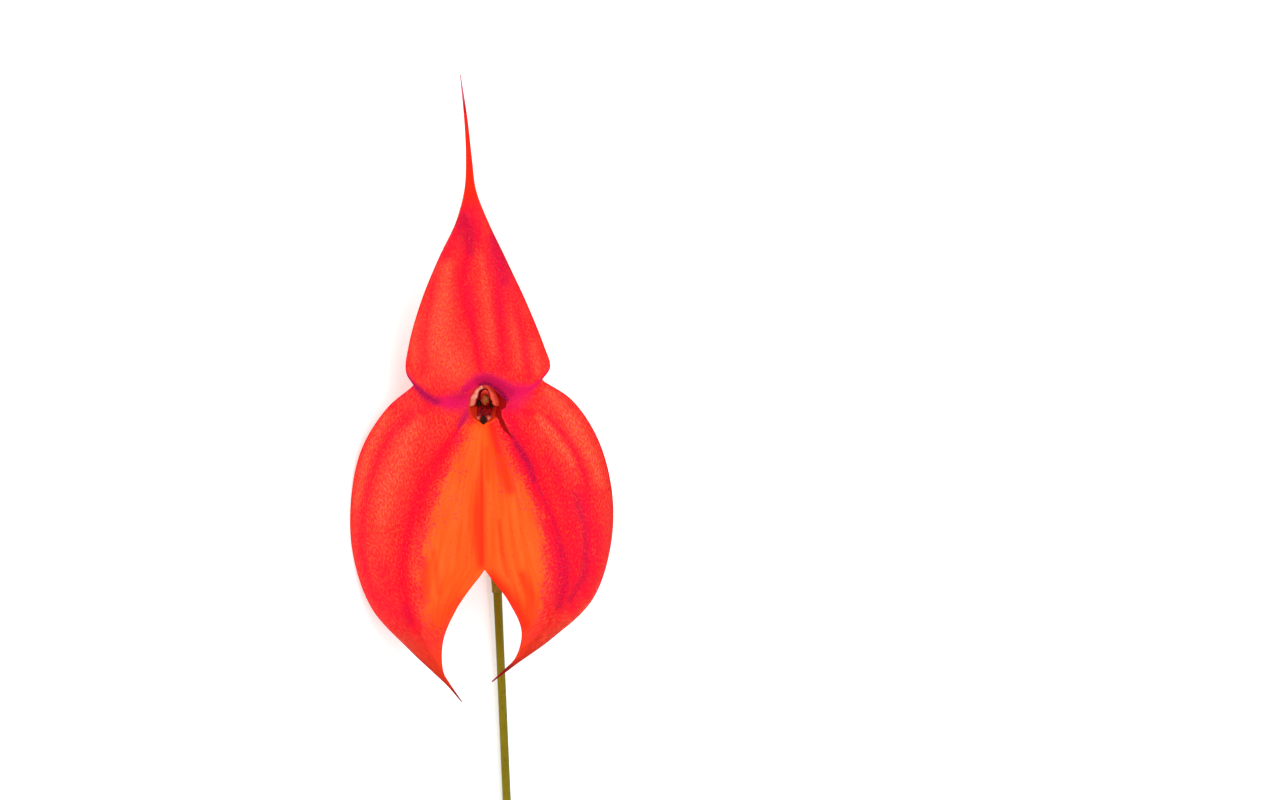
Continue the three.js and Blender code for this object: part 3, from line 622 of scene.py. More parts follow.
# The cup is drawn out of the rim of the throat, ring by ring: (height, size against the throat's rim).
CUP_RINGS = [
    (-1.6, 1.0), (-2.8, 1.0), (-3.8, 1.06), (-5.2, 1.13), (-7.2, 1.2), (-9.4, 1.18), (-11.2, 1.09),
    (-12.8, 0.95), (-14.0, 0.78), (-14.9, 0.6), (-15.5, 0.48), (-15.9, 0.42)]
RINGS_BETWEEN = 2  # steps from one of these rings to the next
RIM_HEIGHT = CUP_RINGS[0][0]
RIM_NEARNESS = 0.004  # of the throat's size
RIM_REACH = 0.1
CUP_RIBS = 6  # over the three nerves and the three seams
CUP_RIB_HEIGHT = 0.045
CUP_RIB_START = (2.2, 5)  # depths over which the ribs rise
CUP_RIB_END = (11, 15)  # and sink again
for vertex in calyx.data.vertices:
    x, y = vertex.co.x / MM / THROAT_HALF_WIDTH, vertex.co.y / MM / THROAT_HALF_HEIGHT
    on_oval = abs(math.hypot(x, y) - 1) < RIM_NEARNESS
    vertex.select = on_oval and vertex.co.z < (RIM_HEIGHT + RIM_REACH) * MM
bpy.ops.object.mode_set(mode="EDIT")
bpy.ops.mesh.select_mode(type="VERT")
cup_profile = through(CUP_RINGS)
height, size = CUP_RINGS[0]
for ring in range(1, (len(CUP_RINGS) - 1) * RINGS_BETWEEN + 1):
    ring_height, ring_size = (float(value) for value in cup_profile(ring / RINGS_BETWEEN))
    bpy.ops.mesh.extrude_region_move(TRANSFORM_OT_translate={"value": (0, 0, (ring_height - height) * MM)})
    ring_scale = ring_size / size
    bpy.ops.transform.resize(value=(ring_scale, ring_scale, 1), center_override=(0, 0, ring_height * MM))
    height, size = ring_height, ring_size
bpy.ops.mesh.merge(type="CENTER")
bpy.ops.mesh.select_all(action="SELECT")
bpy.ops.mesh.normals_make_consistent(inside=False)
bpy.ops.object.mode_set(mode="OBJECT")
for vertex in calyx.data.vertices:
    depth = -vertex.co.z / MM
    rib = CUP_RIB_HEIGHT * (0.5 - 0.5 * math.cos(CUP_RIBS * math.atan2(vertex.co.y, vertex.co.x)))
    swell = 1 + rib * float(smooth(depth, *CUP_RIB_START) * (1 - smooth(depth, *CUP_RIB_END)))
    vertex.co.x *= swell
    vertex.co.y *= swell

# The face is painted in strokes of (share from 0 to 1, line, how much wider it is than drawn).
CRIMSON = [
    (1, HOOD_NERVE, 1.2), (0.9, HOOD_SIDE_NERVE, 1.3), (0.55, HOOD_FAR_RIGHT, 1.3),
    (0.55, HOOD_FAR_LEFT, 1.2), (0.85, HOOD_RIM_PATCH, 1.5), (1, LEFT_NERVE, 1.15),
    (0.7, LEFT_STRIPE, 1.2), (0.9, RIGHT_STRIPE, 1.2),
    (0.6, [(-22.3, -36.5, 2.2), (-20.5, -42.0, 2.0)], 1),
    (0.5, [(7.0, 30.0, 2.0), (7.5, 24.0, 2.2)], 1),
    (0.8, [(-4.6, 41.5, 1.2), (-6.2, 38.0, 1.8), (-8.6, 33.0, 1.4)], 1),
    (0.8, [(-2.6, 44.5, 1.4), (-1.8, 41.0, 2.0), (-1.2, 37.5, 1.8)], 1),
    (0.7, [(-24.7, -41.3, 1.6), (-21.8, -44.6, 2.2), (-18.9, -46.8, 2.0)], 1),
    (0.5, [(-12.3, -32.9, 0.5), (-11.9, -36.9, 0.7), (-13.0, -43.6, 0.7)], 1),
    (0.95, [(5.6, -1.6, 1.4), (7.0, -4.5, 1.8), (9.4, -9.0, 2.0)], 1.2),
    (0.8, [(7.0, -1.2, 1.2), (10.4, -1.9, 1.1)], 1.2),
    (0.6, [(-11.5, -0.9, 1.2), (-14.5, -1.2, 1.0)], 1.1),
    (1, [(4.4, -5.0, 0.9), (6.3, -8.4, 1.4), (8.9, -12.5, 1.8), (11.2, -17.0, 2.2), (13.2, -21.4, 2.7),
         (16.5, -30.2, 3.0), (18.3, -39.1, 2.5), (17.9, -43.6, 2.2)], 1.1),
    (0.85, [(14.5, -12.3, 1.4), (17.2, -17.9, 2.2), (19.4, -23.5, 2.9), (21.2, -36.9, 2.6),
            (19.9, -42.5, 2)], 1.1),
    (0.95, [(22.6, -20.0, 1.8), (24.2, -28.5, 2.0), (24.0, -36.0, 2.0), (22.2, -42.0, 1.8)], 1.2),
    (0.9, [(9.4, -9.0, 1.8), (11.6, -13.5, 1.8), (13.2, -17.5, 1.8), (15.6, -24.0, 1.6)], 1.2),
    (0.8, [(20.5, -42.0, 2.0), (20.0, -45.5, 1.4)], 1.2)]
MAGENTA = [
    (1, [(-4.6, 3.6, 0.8), (-3.0, 4.8, 1.2), (-1.3, 5.6, 1.5), (0.5, 5.8, 1.6), (2.3, 5.2, 1.6),
         (4.1, 4.4, 1.7), (6.3, 3.2, 1.8), (8.6, 3.2, 1.6)], 1.2),
    (1, [(-3.8, 1.4, 1.9), (-5.4, 0.9, 2.2), (-7.6, 0.6, 2.0), (-9.4, 0.8, 1.5),
         (-11.2, 0.7, 1.0)], 1.15),
    (0.9, [(4.5, 2.0, 1.6), (6.8, 2.0, 2.0), (9.0, 3.1, 1.4), (11.7, 4.5, 0.7), (12.8, 5.5, 0.4)], 1.15),
    (0.6, [(5.6, -0.6, 1.3), (8.0, 0.4, 1.6), (10.6, 2.4, 1.2)], 1.15),
    (1, [(-17.6, 7.4, 0.4), (-16.9, 5.8, 0.6), (-15.8, 4.7, 0.6), (-13.7, 2.5, 1.0),
         (-11.2, 0.8, 1.0)], 1.2),
    (0.8, [(-15.9, 4.0, 0.3), (-17.8, 2.5, 0.3), (-21.8, -1.1, 0.2)], 1),
    (0.9, [(14.7, 8.5, 0.25), (14.4, 7.2, 0.3), (12.6, 5.4, 0.4)], 1.1),
    (0.7, [(-3.6, -1.0, 1.0), (-4.7, -3.0, 1.0), (-5.8, -4.8, 0.8)], 1.2),
    (0.35, [(-5.8, -4.8, 1.1), (-6.4, -8.6, 1.0)], 1.2),
    (0.3, [(6.2, -1.0, 1.0), (8.2, -2.0, 1.0)], 1.2),
    (0.3, [(4.8, -2.0, 1.3), (7.0, -6.0, 1.3)], 1.1)]
VIOLET = [
    (0.4, HOOD_TOP_PATCH, 1.6), (0.45, HOOD_RIM_PATCH, 1.4), (0.35, RIGHT_DARK_STRIPE, 1.6),
    (0.25, RIGHT_RIM_STRIPE, 2.2),
    (0.3, [(-3.4, 27.1, 0.4), (-3.1, 23.5, 0.6), (-2.6, 18.5, 0.4)], 1.4),
    (0.3, [(4.2, 28.0, 0.8), (4.0, 24.0, 0.8), (4.2, 20.0, 0.6)], 1.3),
    # the right nerve's upper part: violet vein, deepened into painted shade of its groove
    (0.9, [(6.3, -7.2, 0.5), (8.1, -10.1, 0.9), (10.2, -13.5, 1.0), (11.3, -17.0, 0.8)], 1.45),
    (0.55, [(11.3, -17.0, 0.7), (13.4, -20.6, 0.7), (15.4, -25.0, 0.6), (17.2, -29.7, 0.7)], 1.2),
    (0.6, [(16.8, -30.5, 0.9), (17.9, -34.7, 1.5), (18.0, -39.6, 1.6), (17.0, -44.8, 1.1)], 1.5),
    (0.4, [(-17.5, -45.5, 1.0), (-16.9, -47.1, 1.3), (-16.4, -48.4, 1.0)], 1.5)]
# Dark strokes: violet patches, and painted shade on the throat's rim, under the hood's left edge and in
# grooves.
DARK_AND_SHADE = [
    (0.35, HOOD_TOP_PATCH, 1.9), (0.15, HOOD_RIM_PATCH, 1.6), (0.3, RIGHT_DARK_STRIPE, 1.7),
    (1, [(-1.1, 4.9, 0.5), (0.2, 5.1, 0.8), (1.6, 4.8, 0.6), (3.0, 3.9, 0.6), (4.6, 2.4, 0.7),
         (5.4, 1.0, 0.5)], 1.2),
    (0.45, [(-1.3, 5.9, 0.8), (0.3, 6.2, 1.2), (2.6, 5.4, 1.2), (4.6, 4.0, 1.2), (6.2, 3.0, 0.9)], 1.2),
    (0.7, [(-17.0, 6.0, 0.4), (-15.4, 4.2, 0.7), (-13.5, 2.4, 1.1), (-12.3, 1.4, 1.2),
           (-10.9, 0.8, 0.9)], 1.2),
    (0.35, [(-3.6, -0.9, 0.5), (-4.4, -2.7, 0.8), (-5.2, -4.2, 0.7)], 1.4),
    (0.2, [(-5.2, -4.2, 0.6), (-6.2, -6.3, 0.6)], 1.3),
    (0.25, [(-4.6, 3.4, 0.8), (-6.0, 2.4, 1.2)], 1.2),
    (0.16, [(6.2, -0.8, 1.1), (7.2, -3.0, 1.2), (7.2, -8.0, 1.0), (9.0, -11.5, 1.0)], 1.2)]
# Pale strokes: paler flesh, partly painted highlight on ridges and puffs and painted light on rolled
# margins.
PALE_AND_HIGHLIGHT = [
    (1, [(-7.8, 32.0, 0.9), (-8.5, 26.8, 1.4), (-9.7, 17.9, 2.5), (-9.6, 13.5, 3.1), (-8.0, 10.1, 3.4),
         (-6.0, 8.0, 2.6)], 1.2),
    (0.75, [(0.0, 33.3, 0.7), (0.6, 25.7, 1.4), (1.7, 17.3, 1.4), (2.3, 12.0, 1.1)], 1),
    (0.6, [(6.8, 17.9, 0.8), (7.7, 13.5, 1.0), (7.9, 8.5, 0.9)], 1),
    (0.7, [(11.1, 13.5, 0.8), (12.0, 9.7, 1.0), (12.2, 7.0, 0.8)], 1),
    (0.7, [(-15.0, 18.5, 0.8), (-15.5, 13.5, 1.0), (-15.4, 9.6, 0.9)], 1),
    (0.85, [(-15.0, -4.3, 1.3), (-16.5, -6.5, 1.8), (-19.1, -13.0, 2.6), (-21.9, -20.1, 2.6),
            (-22.8, -26.0, 1.6)], 1.1),
    (0.45, [(-22.8, -26.0, 1.6), (-22.4, -33.5, 1.4)], 1.1),
    (0.75, [(-21.4, -1.8, 0.9), (-25.7, -11.2, 1.4), (-28.2, -22.4, 0.9)], 1.1),
    (0.6, [(-15.4, -27.9, 0.8), (-15.7, -33.5, 1.0), (-15.2, -38.0, 1.0)], 1),
    (1, [(12.4, -2.6, 0.8), (15.1, -5.8, 1.4), (18.7, -10.7, 1.2), (20.1, -13.2, 0.9)], 1.05),
    (1, [(14.4, 3.1, 1.0), (16.5, 0.7, 1.5), (21.0, -5.6, 1.9), (24.6, -12.7, 1.5),
         (26.2, -18.0, 0.9)], 1.05),
    (0.8, [(9.2, -55.8, 0.9), (17.3, -50.2, 1.2), (24.4, -43.5, 0.9)], 1),
    (0.6, [(-12.5, -57.8, 0.9), (-18.0, -52.0, 1.2)], 1)]
RED_ORANGE = [
    (1, [(1.7, -4.2, 1.1), (2.7, -7.9, 1.3), (3.4, -10.6, 1.3)], 1.1),
    (0.8, [(3.4, -10.6, 1.5), (4.6, -14.5, 1.7), (6.0, -19.0, 1.2)], 1.2),
    (1, [(2.0, -39.1, 1.6), (4.2, -41.8, 2.2), (6.5, -44.9, 2.8), (8.9, -49.0, 3.4)], 1.1),
    (0.55, [(-6.0, -45.0, 2.4), (-10.5, -49.0, 3.6)], 1.3),
    (0.5, [(3.8, -26.0, 0.4), (4.4, -33.0, 0.4), (5.6, -38.5, 0.4)], 1),
    (0.8, [(-2.8, -3.0, 0.8), (-3.4, -4.6, 0.6)], 1),
    (0.45, [(-11.0, -33.0, 0.8), (-10.0, -42.0, 0.8)], 1),
    (0.6, [(-13.0, -35.5, 1.2), (-12.9, -43.5, 1.4)], 1.1),
    (0.45, [(0.7, -10.0, 0.9), (0.8, -16.5, 0.9)], 1.1),
    (0.7, [(9.0, -38.0, 0.8), (11.0, -43.0, 1.4), (10.8, -48.0, 2.2)], 1.2)]
# painted shade on the left flank of the low ridge along the keel
KEEL_SHADE = [
    (0.8, [(-0.4, -6.0, 0.7), (-1.0, -17.0, 1.1), (-1.4, -24.0, 1.5), (-1.2, -31.0, 1.5),
           (-0.6, -36.0, 1.0)], 1.1)]
FLECKED = [
    (0.9, [(-4.6, -10.0, 0.6), (-5.3, -14.6, 0.7), (-5.2, -18.4, 0.7), (-6.3, -26.2, 0.5)], 1),
    (0.8, [(-6.8, -19.7, 0.6), (-9.2, -27.3, 0.6)], 1),
    (0.8, [(2.7, -12.8, 0.9), (4.4, -20.0, 0.9)], 1),
    (0.9, [(5.5, -13.6, 0.7), (7.5, -20.5, 0.9), (9.5, -24.0, 0.7)], 1)]
# Borders run from top to foot as points (x, y). The bank is a fold right of the throat, in painted shade.
ORANGE_LEFT = [
    (-3.8, -4.0), (-3.9, -7.9), (-6.2, -12.1), (-9.3, -18.8), (-11.3, -25.5), (-13.2, -32.2),
    (-13.9, -38.9), (-13.3, -45.5), (-12.8, -52.2), (-12.8, -56.0)]
ORANGE_RIGHT = [
    (1.6, -4.0), (3.4, -7.9), (4.7, -10.6), (7.5, -15.7), (10.4, -20.8), (12.1, -25.3), (13.4, -31.3),
    (14.1, -38.0), (13.4, -44.7), (12.2, -49.0), (12.0, -56.0)]
BANK_SHADE_LEFT = [
    (1.35, 4.05), (2.25, 3.15), (3.15, 2.02), (3.15, -0.68), (2.81, -1.35), (2.81, -2.7), (3.38, -3.83),
    (3.71, -4.95), (4.5, -6.08), (5.4, -6.98), (6.3, -7.76)]
BANK_SHADE_RIGHT = [
    (1.46, 4.05), (3.15, 3.15), (3.83, 2.48), (4.39, 1.8), (5.06, 1.12), (5.4, 0.23), (4.95, -0.68),
    (4.12, -1.24), (4.05, -1.8), (4.16, -2.7), (4.61, -3.6), (5.06, -4.73), (5.62, -5.85), (6.08, -6.98),
    (6.39, -7.76)]
BANK_LEAN = 0.033  # how far it leans to the left for each millimetre below BANK_DEPTH
BANK_DEPTH = 2
BANK_END = 0.2
# The colours of the side sepals' tails spread round these places (x, y).
TAIL_LEFT, TAIL_RIGHT = (-4.8, -66.2), (2.2, -61.6)
TIP_LEFT, TIP_RIGHT = (-4.6, -66.35), (2.1, -61.72)
BASE_LEFT, BASE_RIGHT = (-7.5, -62), (5.5, -58)
KEEL_LINE, KEEL_LINE_WIDTH = -0.45, 0.35

spot = np.array([vertex.co for vertex in calyx.data.vertices]) / MM
x, y, z = spot.T
throat_share = np.hypot(x / THROAT_HALF_WIDTH, y / THROAT_HALF_HEIGHT)


def painted(strokes):
    """The strongest of several strokes at each place."""
    return np.max([share * nearness(spot, line, spread) for share, line, spread in strokes], axis=0)


def inside(left, right, lean=0):
    """How far each place lies inside two borders."""
    left_x, right_x = (np.interp(-y, -np.array(side)[:, 1], np.array(side)[:, 0]) for side in (left, right))
    return np.minimum(x + lean - left_x, right_x - x - lean)


def round_patch(centre, low, high):
    """1 within a distance from a centre, 0 past a further one, and smooth between."""
    return 1 - smooth(np.hypot(x - centre[0], y - centre[1]), low, high)


throat = np.maximum(1 - smooth(throat_share, 1.0, 1.06), smooth(-z, 2.0, 2.4))
# the throat's low rim, which takes no throat colour and glows orange with painted light
low_rim = smooth(-y, 3.0, 3.7) * smooth(z, -3.2, -2.4)
inside_orange = inside(ORANGE_LEFT, ORANGE_RIGHT)
orange = smooth(inside_orange, -2.6, 2.2) * smooth(-y, 3.6, 4.8) * (1 - smooth(-y, 46, 55))
orange_border = smooth(inside_orange, -1.8, -0.2) * (1 - smooth(inside_orange, 0.4, 2.6))
inside_bank_shade = inside(BANK_SHADE_LEFT, BANK_SHADE_RIGHT, BANK_LEAN * np.maximum(-z - BANK_DEPTH, 0))
crimson = painted(CRIMSON) * (1 - 0.85 * orange)
side_face = smooth(-y, -1, 4)
pebbled = np.clip((1 - 0.8 * orange) * (0.65 + 0.35 * side_face), 0, 1)
shares = {
    "orange": orange,
    "throat": throat * (1 - low_rim),
    "cup": smooth(-z, 2.5, 14.0) * (throat_share < 1.5),
    "low_rim": low_rim,
    "crimson": crimson,
    "magenta": painted(MAGENTA),
    "violet": painted(VIOLET),
    "dark_and_shade": painted(DARK_AND_SHADE),
    "pale_and_highlight": painted(PALE_AND_HIGHLIGHT) * (1 - orange),
    # red-orange flesh, and the keel's painted shade fading out towards the throat
    "red_orange_and_keel_shade": np.maximum(painted(RED_ORANGE), painted(KEEL_SHADE) * smooth(-y, 6, 24)),
    "flecked": np.maximum(orange_border * smooth(-y, 5, 9), painted(FLECKED)),
    "pebbled": pebbled * (1 - throat) * (1 - smooth(y, 38, 46)) * (1 - 0.5 * crimson),
    # painted shade on the bank's steep wall beside the throat
    "bank_shade": (smooth(inside_bank_shade, -0.4, 0.4) * smooth(BANK_SHADE_LEFT[0][1] - y, 0, BANK_END)
             * smooth(y - BANK_SHADE_LEFT[-1][1], 0, BANK_END)),
    "tail": np.max(
        [smooth(y, 61, 68), round_patch(TAIL_LEFT, 1.5, 5.5), round_patch(TAIL_RIGHT, 4, 8)], axis=0),
    "tail_tip": np.max(
        [smooth(y, 66, 70), round_patch(TIP_LEFT, 0, 1.6), round_patch(TIP_RIGHT, 0, 1.4)], axis=0),
    "tail_base": smooth(y, 43, 48),
    # paler orange round the side tails' bases, partly painted light lifting their rolled margins' shade
    "side_tail_base_and_light": np.maximum(round_patch(BASE_LEFT, 5, 14), round_patch(BASE_RIGHT, 5, 14)),
    "keel": (np.exp(-((x - KEEL_LINE) / KEEL_LINE_WIDTH) ** 2) * smooth(-y, 6, 20)
             * (1 - smooth(-y, 35, 37))),
    # painted light: where the glow round the throat and in the cup lies
    "lit": (throat * smooth(throat_share, 0.4, 0.8)
            * np.maximum(1 - smooth(-z, 2.6, 4.0), smooth(-y, 0.0, 1.0))),
}


def paint(piece, name, share):
    """Keeps a share from 0 to 1 for each vertex, under a name that a material reads."""
    attribute = piece.data.attributes.new(name, "FLOAT", "POINT")
    attribute.data.foreach_set("value", share.astype(np.float32))


def share_of(tree, name):
    return make(tree, "Attribute", attribute_name=name).outputs["Fac"]


def grainy(tree, share, grains, depth, low, high):
    """A painted share whose edge is broken up by grains."""
    centred = calculate(tree, "SUBTRACT", grains, 0.5)
    return ramp(tree, calculate(tree, "MULTIPLY_ADD", centred, depth, share), low, high)


for name, share in shares.items():
    paint(calyx, name, share)

sepal_face, tree = new_material("sepal_face", 0.6, 0.06)
in_space, on_blade = coordinates(tree)
on_veins = make(tree, "UVMap", uv_map="veins").outputs["UV"]
pebbles = grain(tree, on_blade, 20.0, (1, 0.85, 1), 3.0)
fine = grain(tree, in_space, 2800.0, detail=1.0)
cloud = grain(tree, in_space, 220.0, detail=3.0)
streaks = grain(tree, on_veins, 1.0, (14, 0.7, 1), 3.0)
clumps = grain(tree, on_blade, 5.0, (1, 0.45, 1), 3.0)
flecks = grain(tree, on_blade, 26.0, (1, 0.45, 1), 1.0)
hue = ramp(tree, grain(tree, on_blade, 23.0, (1, 0.75, 1), 1.0), 0.4, 0.6)
pebbled, pale_and_highlight = share_of(tree, "pebbled"), share_of(tree, "pale_and_highlight")
bank_shade, lit = share_of(tree, "bank_shade"), share_of(tree, "lit")
lightness = calculate(tree, "MAXIMUM", pale_and_highlight, 0.4)
# paler pebbles, partly painted highlights on the bumps, stronger on the pale strokes
pebble_highlights = product(tree, ramp(tree, pebbles, 0.44, 0.62), lightness, pebbled)
pebble_highlight_colour = blend(tree, hue, linear(255, 112, 44), linear(255, 100, 88))
orange_flesh = coats(
    tree, linear(255, 84, 20),
    (ramp(tree, streaks, 0.35, 0.65), linear(255, 97, 32)),
    (share_of(tree, "red_orange_and_keel_shade"), linear(255, 40, 10)),
    (product(tree, share_of(tree, "keel"), 0.9), linear(255, 34, 10)))
centred_clumps = calculate(tree, "SUBTRACT", clumps, 0.5)
ragged = calculate(tree, "MULTIPLY_ADD", centred_clumps, 1.3, share_of(tree, "orange"))
magenta_flesh = blend(tree, fine, linear(212, 4, 96), linear(242, 26, 80))
colour = coats(
    tree, linear(255, 26, 38),
    (ramp(tree, cloud, 0.35, 0.65), linear(255, 40, 44)),
    (product(tree, pale_and_highlight, 0.5), linear(255, 80, 54)),
    (pebble_highlights, pebble_highlight_colour),
    (product(tree, share_of(tree, "crimson"), ramp(tree, pebbles, 0.95, 0.4)), linear(254, 2, 45)),
    (share_of(tree, "tail_base"), linear(255, 34, 12)),
    # paler orange, partly painted light on the side tails' rolled margins
    (share_of(tree, "side_tail_base_and_light"), linear(255, 60, 30)),
    (grainy(tree, ragged, pebbles, 1.5, 0.1, 0.9), orange_flesh),
    (product(tree, share_of(tree, "flecked"), ramp(tree, flecks, 0.54, 0.68), 0.75), linear(232, 34, 76)),
    (grainy(tree, share_of(tree, "magenta"), fine, 0.9, 0.1, 0.9), magenta_flesh),
    # dark violet patches, and painted shade by the throat and along the left crease
    (product(tree, share_of(tree, "dark_and_shade"), ramp(tree, fine, 0.15, 0.6)), linear(132, 0, 62)),
    (product(tree, share_of(tree, "violet"), ramp(tree, fine, 0.2, 0.6)), linear(166, 0, 68)),
    (product(tree, share_of(tree, "tail"), 0.9), linear(164, 8, 26)),
    (share_of(tree, "tail_tip"), linear(206, 90, 116)),
    (share_of(tree, "throat"), linear(196, 44, 26)),
    # painted shade: the bank's steep wall, dark red
    (grainy(tree, bank_shade, fine, 1.2, 0.4, 0.6), linear(152, 1, 7)))
# painted light: the throat's rim and the cup's walls glow, as light through the thin flesh would
glow = coats(
    tree, linear(0, 0, 0),
    (product(tree, lit, ramp(tree, fine, -0.3, 0.6)),
     blend(tree, bank_shade, linear(186, 44, 22), linear(140, 6, 10))),
    (product(tree, share_of(tree, "low_rim"), lit), linear(236, 84, 20)))
shader = tree.nodes["Principled BSDF"]
tree.links.new(glow, shader.inputs["Emission Color"])
shader.inputs["Emission Strength"].default_value = 0.8
dress(calyx, sepal_face, colour, product(tree, pebbles, pebbled), 0.6)

sepal_back, tree = new_material("sepal_back", 0.6, 0.15)
in_space, on_blade = coordinates(tree)
on_veins = make(tree, "UVMap", uv_map="veins").outputs["UV"]
streaks = grain(tree, on_veins, 1.0, (22, 1.2, 1), 4.0)
net = grain(tree, on_blade, 9.0, (1, 0.5, 1), 3.0)
mottle = grain(tree, in_space, 700.0, detail=3.0)
cup_flesh = blend(tree, ramp(tree, streaks, 0.4, 0.6), linear(214, 96, 40), linear(196, 132, 58))
colour = coats(
    tree, linear(240, 104, 48),
    (ramp(tree, streaks, 0.35, 0.65), linear(226, 78, 40)),
    (product(tree, ramp(tree, net, 0.5, 0.62), 0.35), linear(214, 58, 36)),
    (product(tree, share_of(tree, "crimson"), 0.75), linear(206, 44, 40)),
    (share_of(tree, "cup"), cup_flesh),
    (product(tree, ramp(tree, mottle, 0.6, 0.75), 0.6), linear(196, 62, 40)),
    (share_of(tree, "tail"), linear(140, 34, 26)))
dress(calyx, sepal_back, colour, streaks, 0.3)

# The blades get their flesh, thinner towards the free margins. Behind, they run into the cup's wall in a
# rounded corner.
CORNER_FOOT, CORNER_TOP = -4.6, 1.0
CORNER_REACH = 2.0  # against the throat's rim
CORNER_SMOOTHING = 30
thicken(calyx, BLADE_THICKNESS, use_even_offset=True, use_quality_normals=True, vertex_group="fullness",
        material_offset=1, material_offset_rim=1)
bpy.ops.object.shade_smooth()
bpy.ops.object.mode_set(mode="EDIT")
bpy.ops.mesh.select_mode(type="VERT")
bpy.ops.mesh.select_all(action="DESELECT")
bpy.ops.object.mode_set(mode="OBJECT")
is_back = [False] * len(calyx.data.vertices)
for face in calyx.data.polygons:
    for index in face.vertices:
        is_back[index] = face.material_index == 1
for vertex in calyx.data.vertices:
    x, y, z = vertex.co / MM
    out = math.hypot(x / THROAT_HALF_WIDTH, y / THROAT_HALF_HEIGHT)
    vertex.select = is_back[vertex.index] and CORNER_FOOT < z < CORNER_TOP and out < CORNER_REACH
bpy.ops.object.mode_set(mode="EDIT")
bpy.ops.mesh.vertices_smooth(factor=0.5, repeat=CORNER_SMOOTHING)
bpy.ops.mesh.select_all(action="DESELECT")
bpy.ops.object.mode_set(mode="OBJECT")

lay_down(calyx)
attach(calyx, "root")
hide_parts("calyx")

# ---- The column ---------------------------------------------------------------------------------
# The fused stamen and pistil: a blunt waxy club on the floor of the cup. Its tip is a crimson hood with a
# hollow below it, in which the anther cap sits.
COLUMN_LINE = [(0, 0.75, -14.6), (0, 0.9, -11), (0, 1.0, -7), (0.1, 1.5, -4.2), (0.2, 1.85, -1.9)]
COLUMN_STATIONS = [
    (0, 0.9, 0.9), (1, 0.95, 0.95), (2, 1.0, 1.0), (3, 1.05, 1.35), (3.75, 1.1, 1.65), (3.98, 1.0, 1.55),
    (3.9, 0.7, 1.1), (3.7, 0.1, 0.15)]
COLUMN_RINGS, COLUMN_SIDES = 72, 40
COLUMN_HOOD = 0.7  # how far the upper rim of the tip stands forward
HOOD_UP = (1.9, 3.0)  # places along Y over which it comes to do so
HOOD_AHEAD = (-4.2, -2.0)  # and along Z
HOOD_COLOUR_UP = (2.2, 2.7)  # places along Y over which it takes its own colour
column_points = rolled(COLUMN_LINE, COLUMN_STATIONS, COLUMN_RINGS, COLUMN_SIDES)
upper_side = smooth(column_points[..., 1], *HOOD_UP)
column_points[..., 2] += COLUMN_HOOD * upper_side * smooth(column_points[..., 2], *HOOD_AHEAD)
column, row, across = lay_grid("column_club", column_points)
paint(column, "hood", smooth(column_points[..., 1], *HOOD_COLOUR_UP)[row, across])
close_up(column)

column_wax, tree = new_material("column_wax", 0.45, 0.15)
in_space, on_column = coordinates(tree)
up_column = axis_of(tree, on_column, "Y")
specks = ramp(tree, grain(tree, in_space, 4200.0, detail=1.0), 0.56, 0.62)
colour = coats(
    tree, linear(232, 176, 150),
    (grain(tree, in_space, 1300.0), linear(240, 204, 180)),
    (ramp(tree, up_column, 0.3, 0.5), linear(206, 4, 14)),
    (share_of(tree, "hood"), linear(224, 36, 18)),
    (product(tree, specks, ramp(tree, up_column, 0.45, 0.6)), linear(196, 110, 100)))
dress(column, column_wax, colour, grain(tree, in_space, 2600.0), 0.08)

lay_down(column)
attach(column, "root")
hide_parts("column")

# ---- The anther cap -----------------------------------------------------------------------------
# A small olive lid over the pollen, loose on a hinge under the column's hood. A furrow parts its two
# cells, and it narrows towards its lower end.
ANTHER_CENTRE = Vector((0.2, 0.95, -1.45)) * MM
ANTHER_HALF_SIZE = (0.84, 1.15, 0.55)
ANTHER_TAPER = 0.62  # how much narrower its lower end is
FURROW_DEPTH = 0.16
FURROW_WIDTH = 0.16
bpy.ops.object.select_all(action="DESELECT")
bpy.ops.mesh.primitive_uv_sphere_add(segments=40, ring_count=28, radius=1 * MM)
anther = bpy.context.object
anther.name = "anther_lid"
for vertex in anther.data.vertices:
    across, up, ahead = vertex.co / MM
    furrow = 1 - FURROW_DEPTH * math.exp(-(across / FURROW_WIDTH) ** 2) * (ahead > 0)
    pointed = 1 - ANTHER_TAPER * smooth(-up, -0.2, 1)
    vertex.co = Vector((across * ANTHER_HALF_SIZE[0] * pointed, up * ANTHER_HALF_SIZE[1],
                        ahead * ANTHER_HALF_SIZE[2] * furrow)) * MM + ANTHER_CENTRE
bpy.ops.object.shade_smooth()

anther_skin, tree = new_material("anther_skin", 0.5, 0.15)
in_space, _ = coordinates(tree)
dapple = grain(tree, in_space, 4200.0, detail=2.0)
colour = coats(
    tree, linear(100, 60, 20),
    (ramp(tree, dapple, 0.35, 0.6), linear(132, 94, 36)),
    (ramp(tree, grain(tree, in_space, 4600.0), 0.54, 0.58), linear(196, 22, 22)))
dress(anther, anther_skin, colour, dapple, 0.12)

lay_down(anther)
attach(anther, "root")
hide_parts("anther_cap")

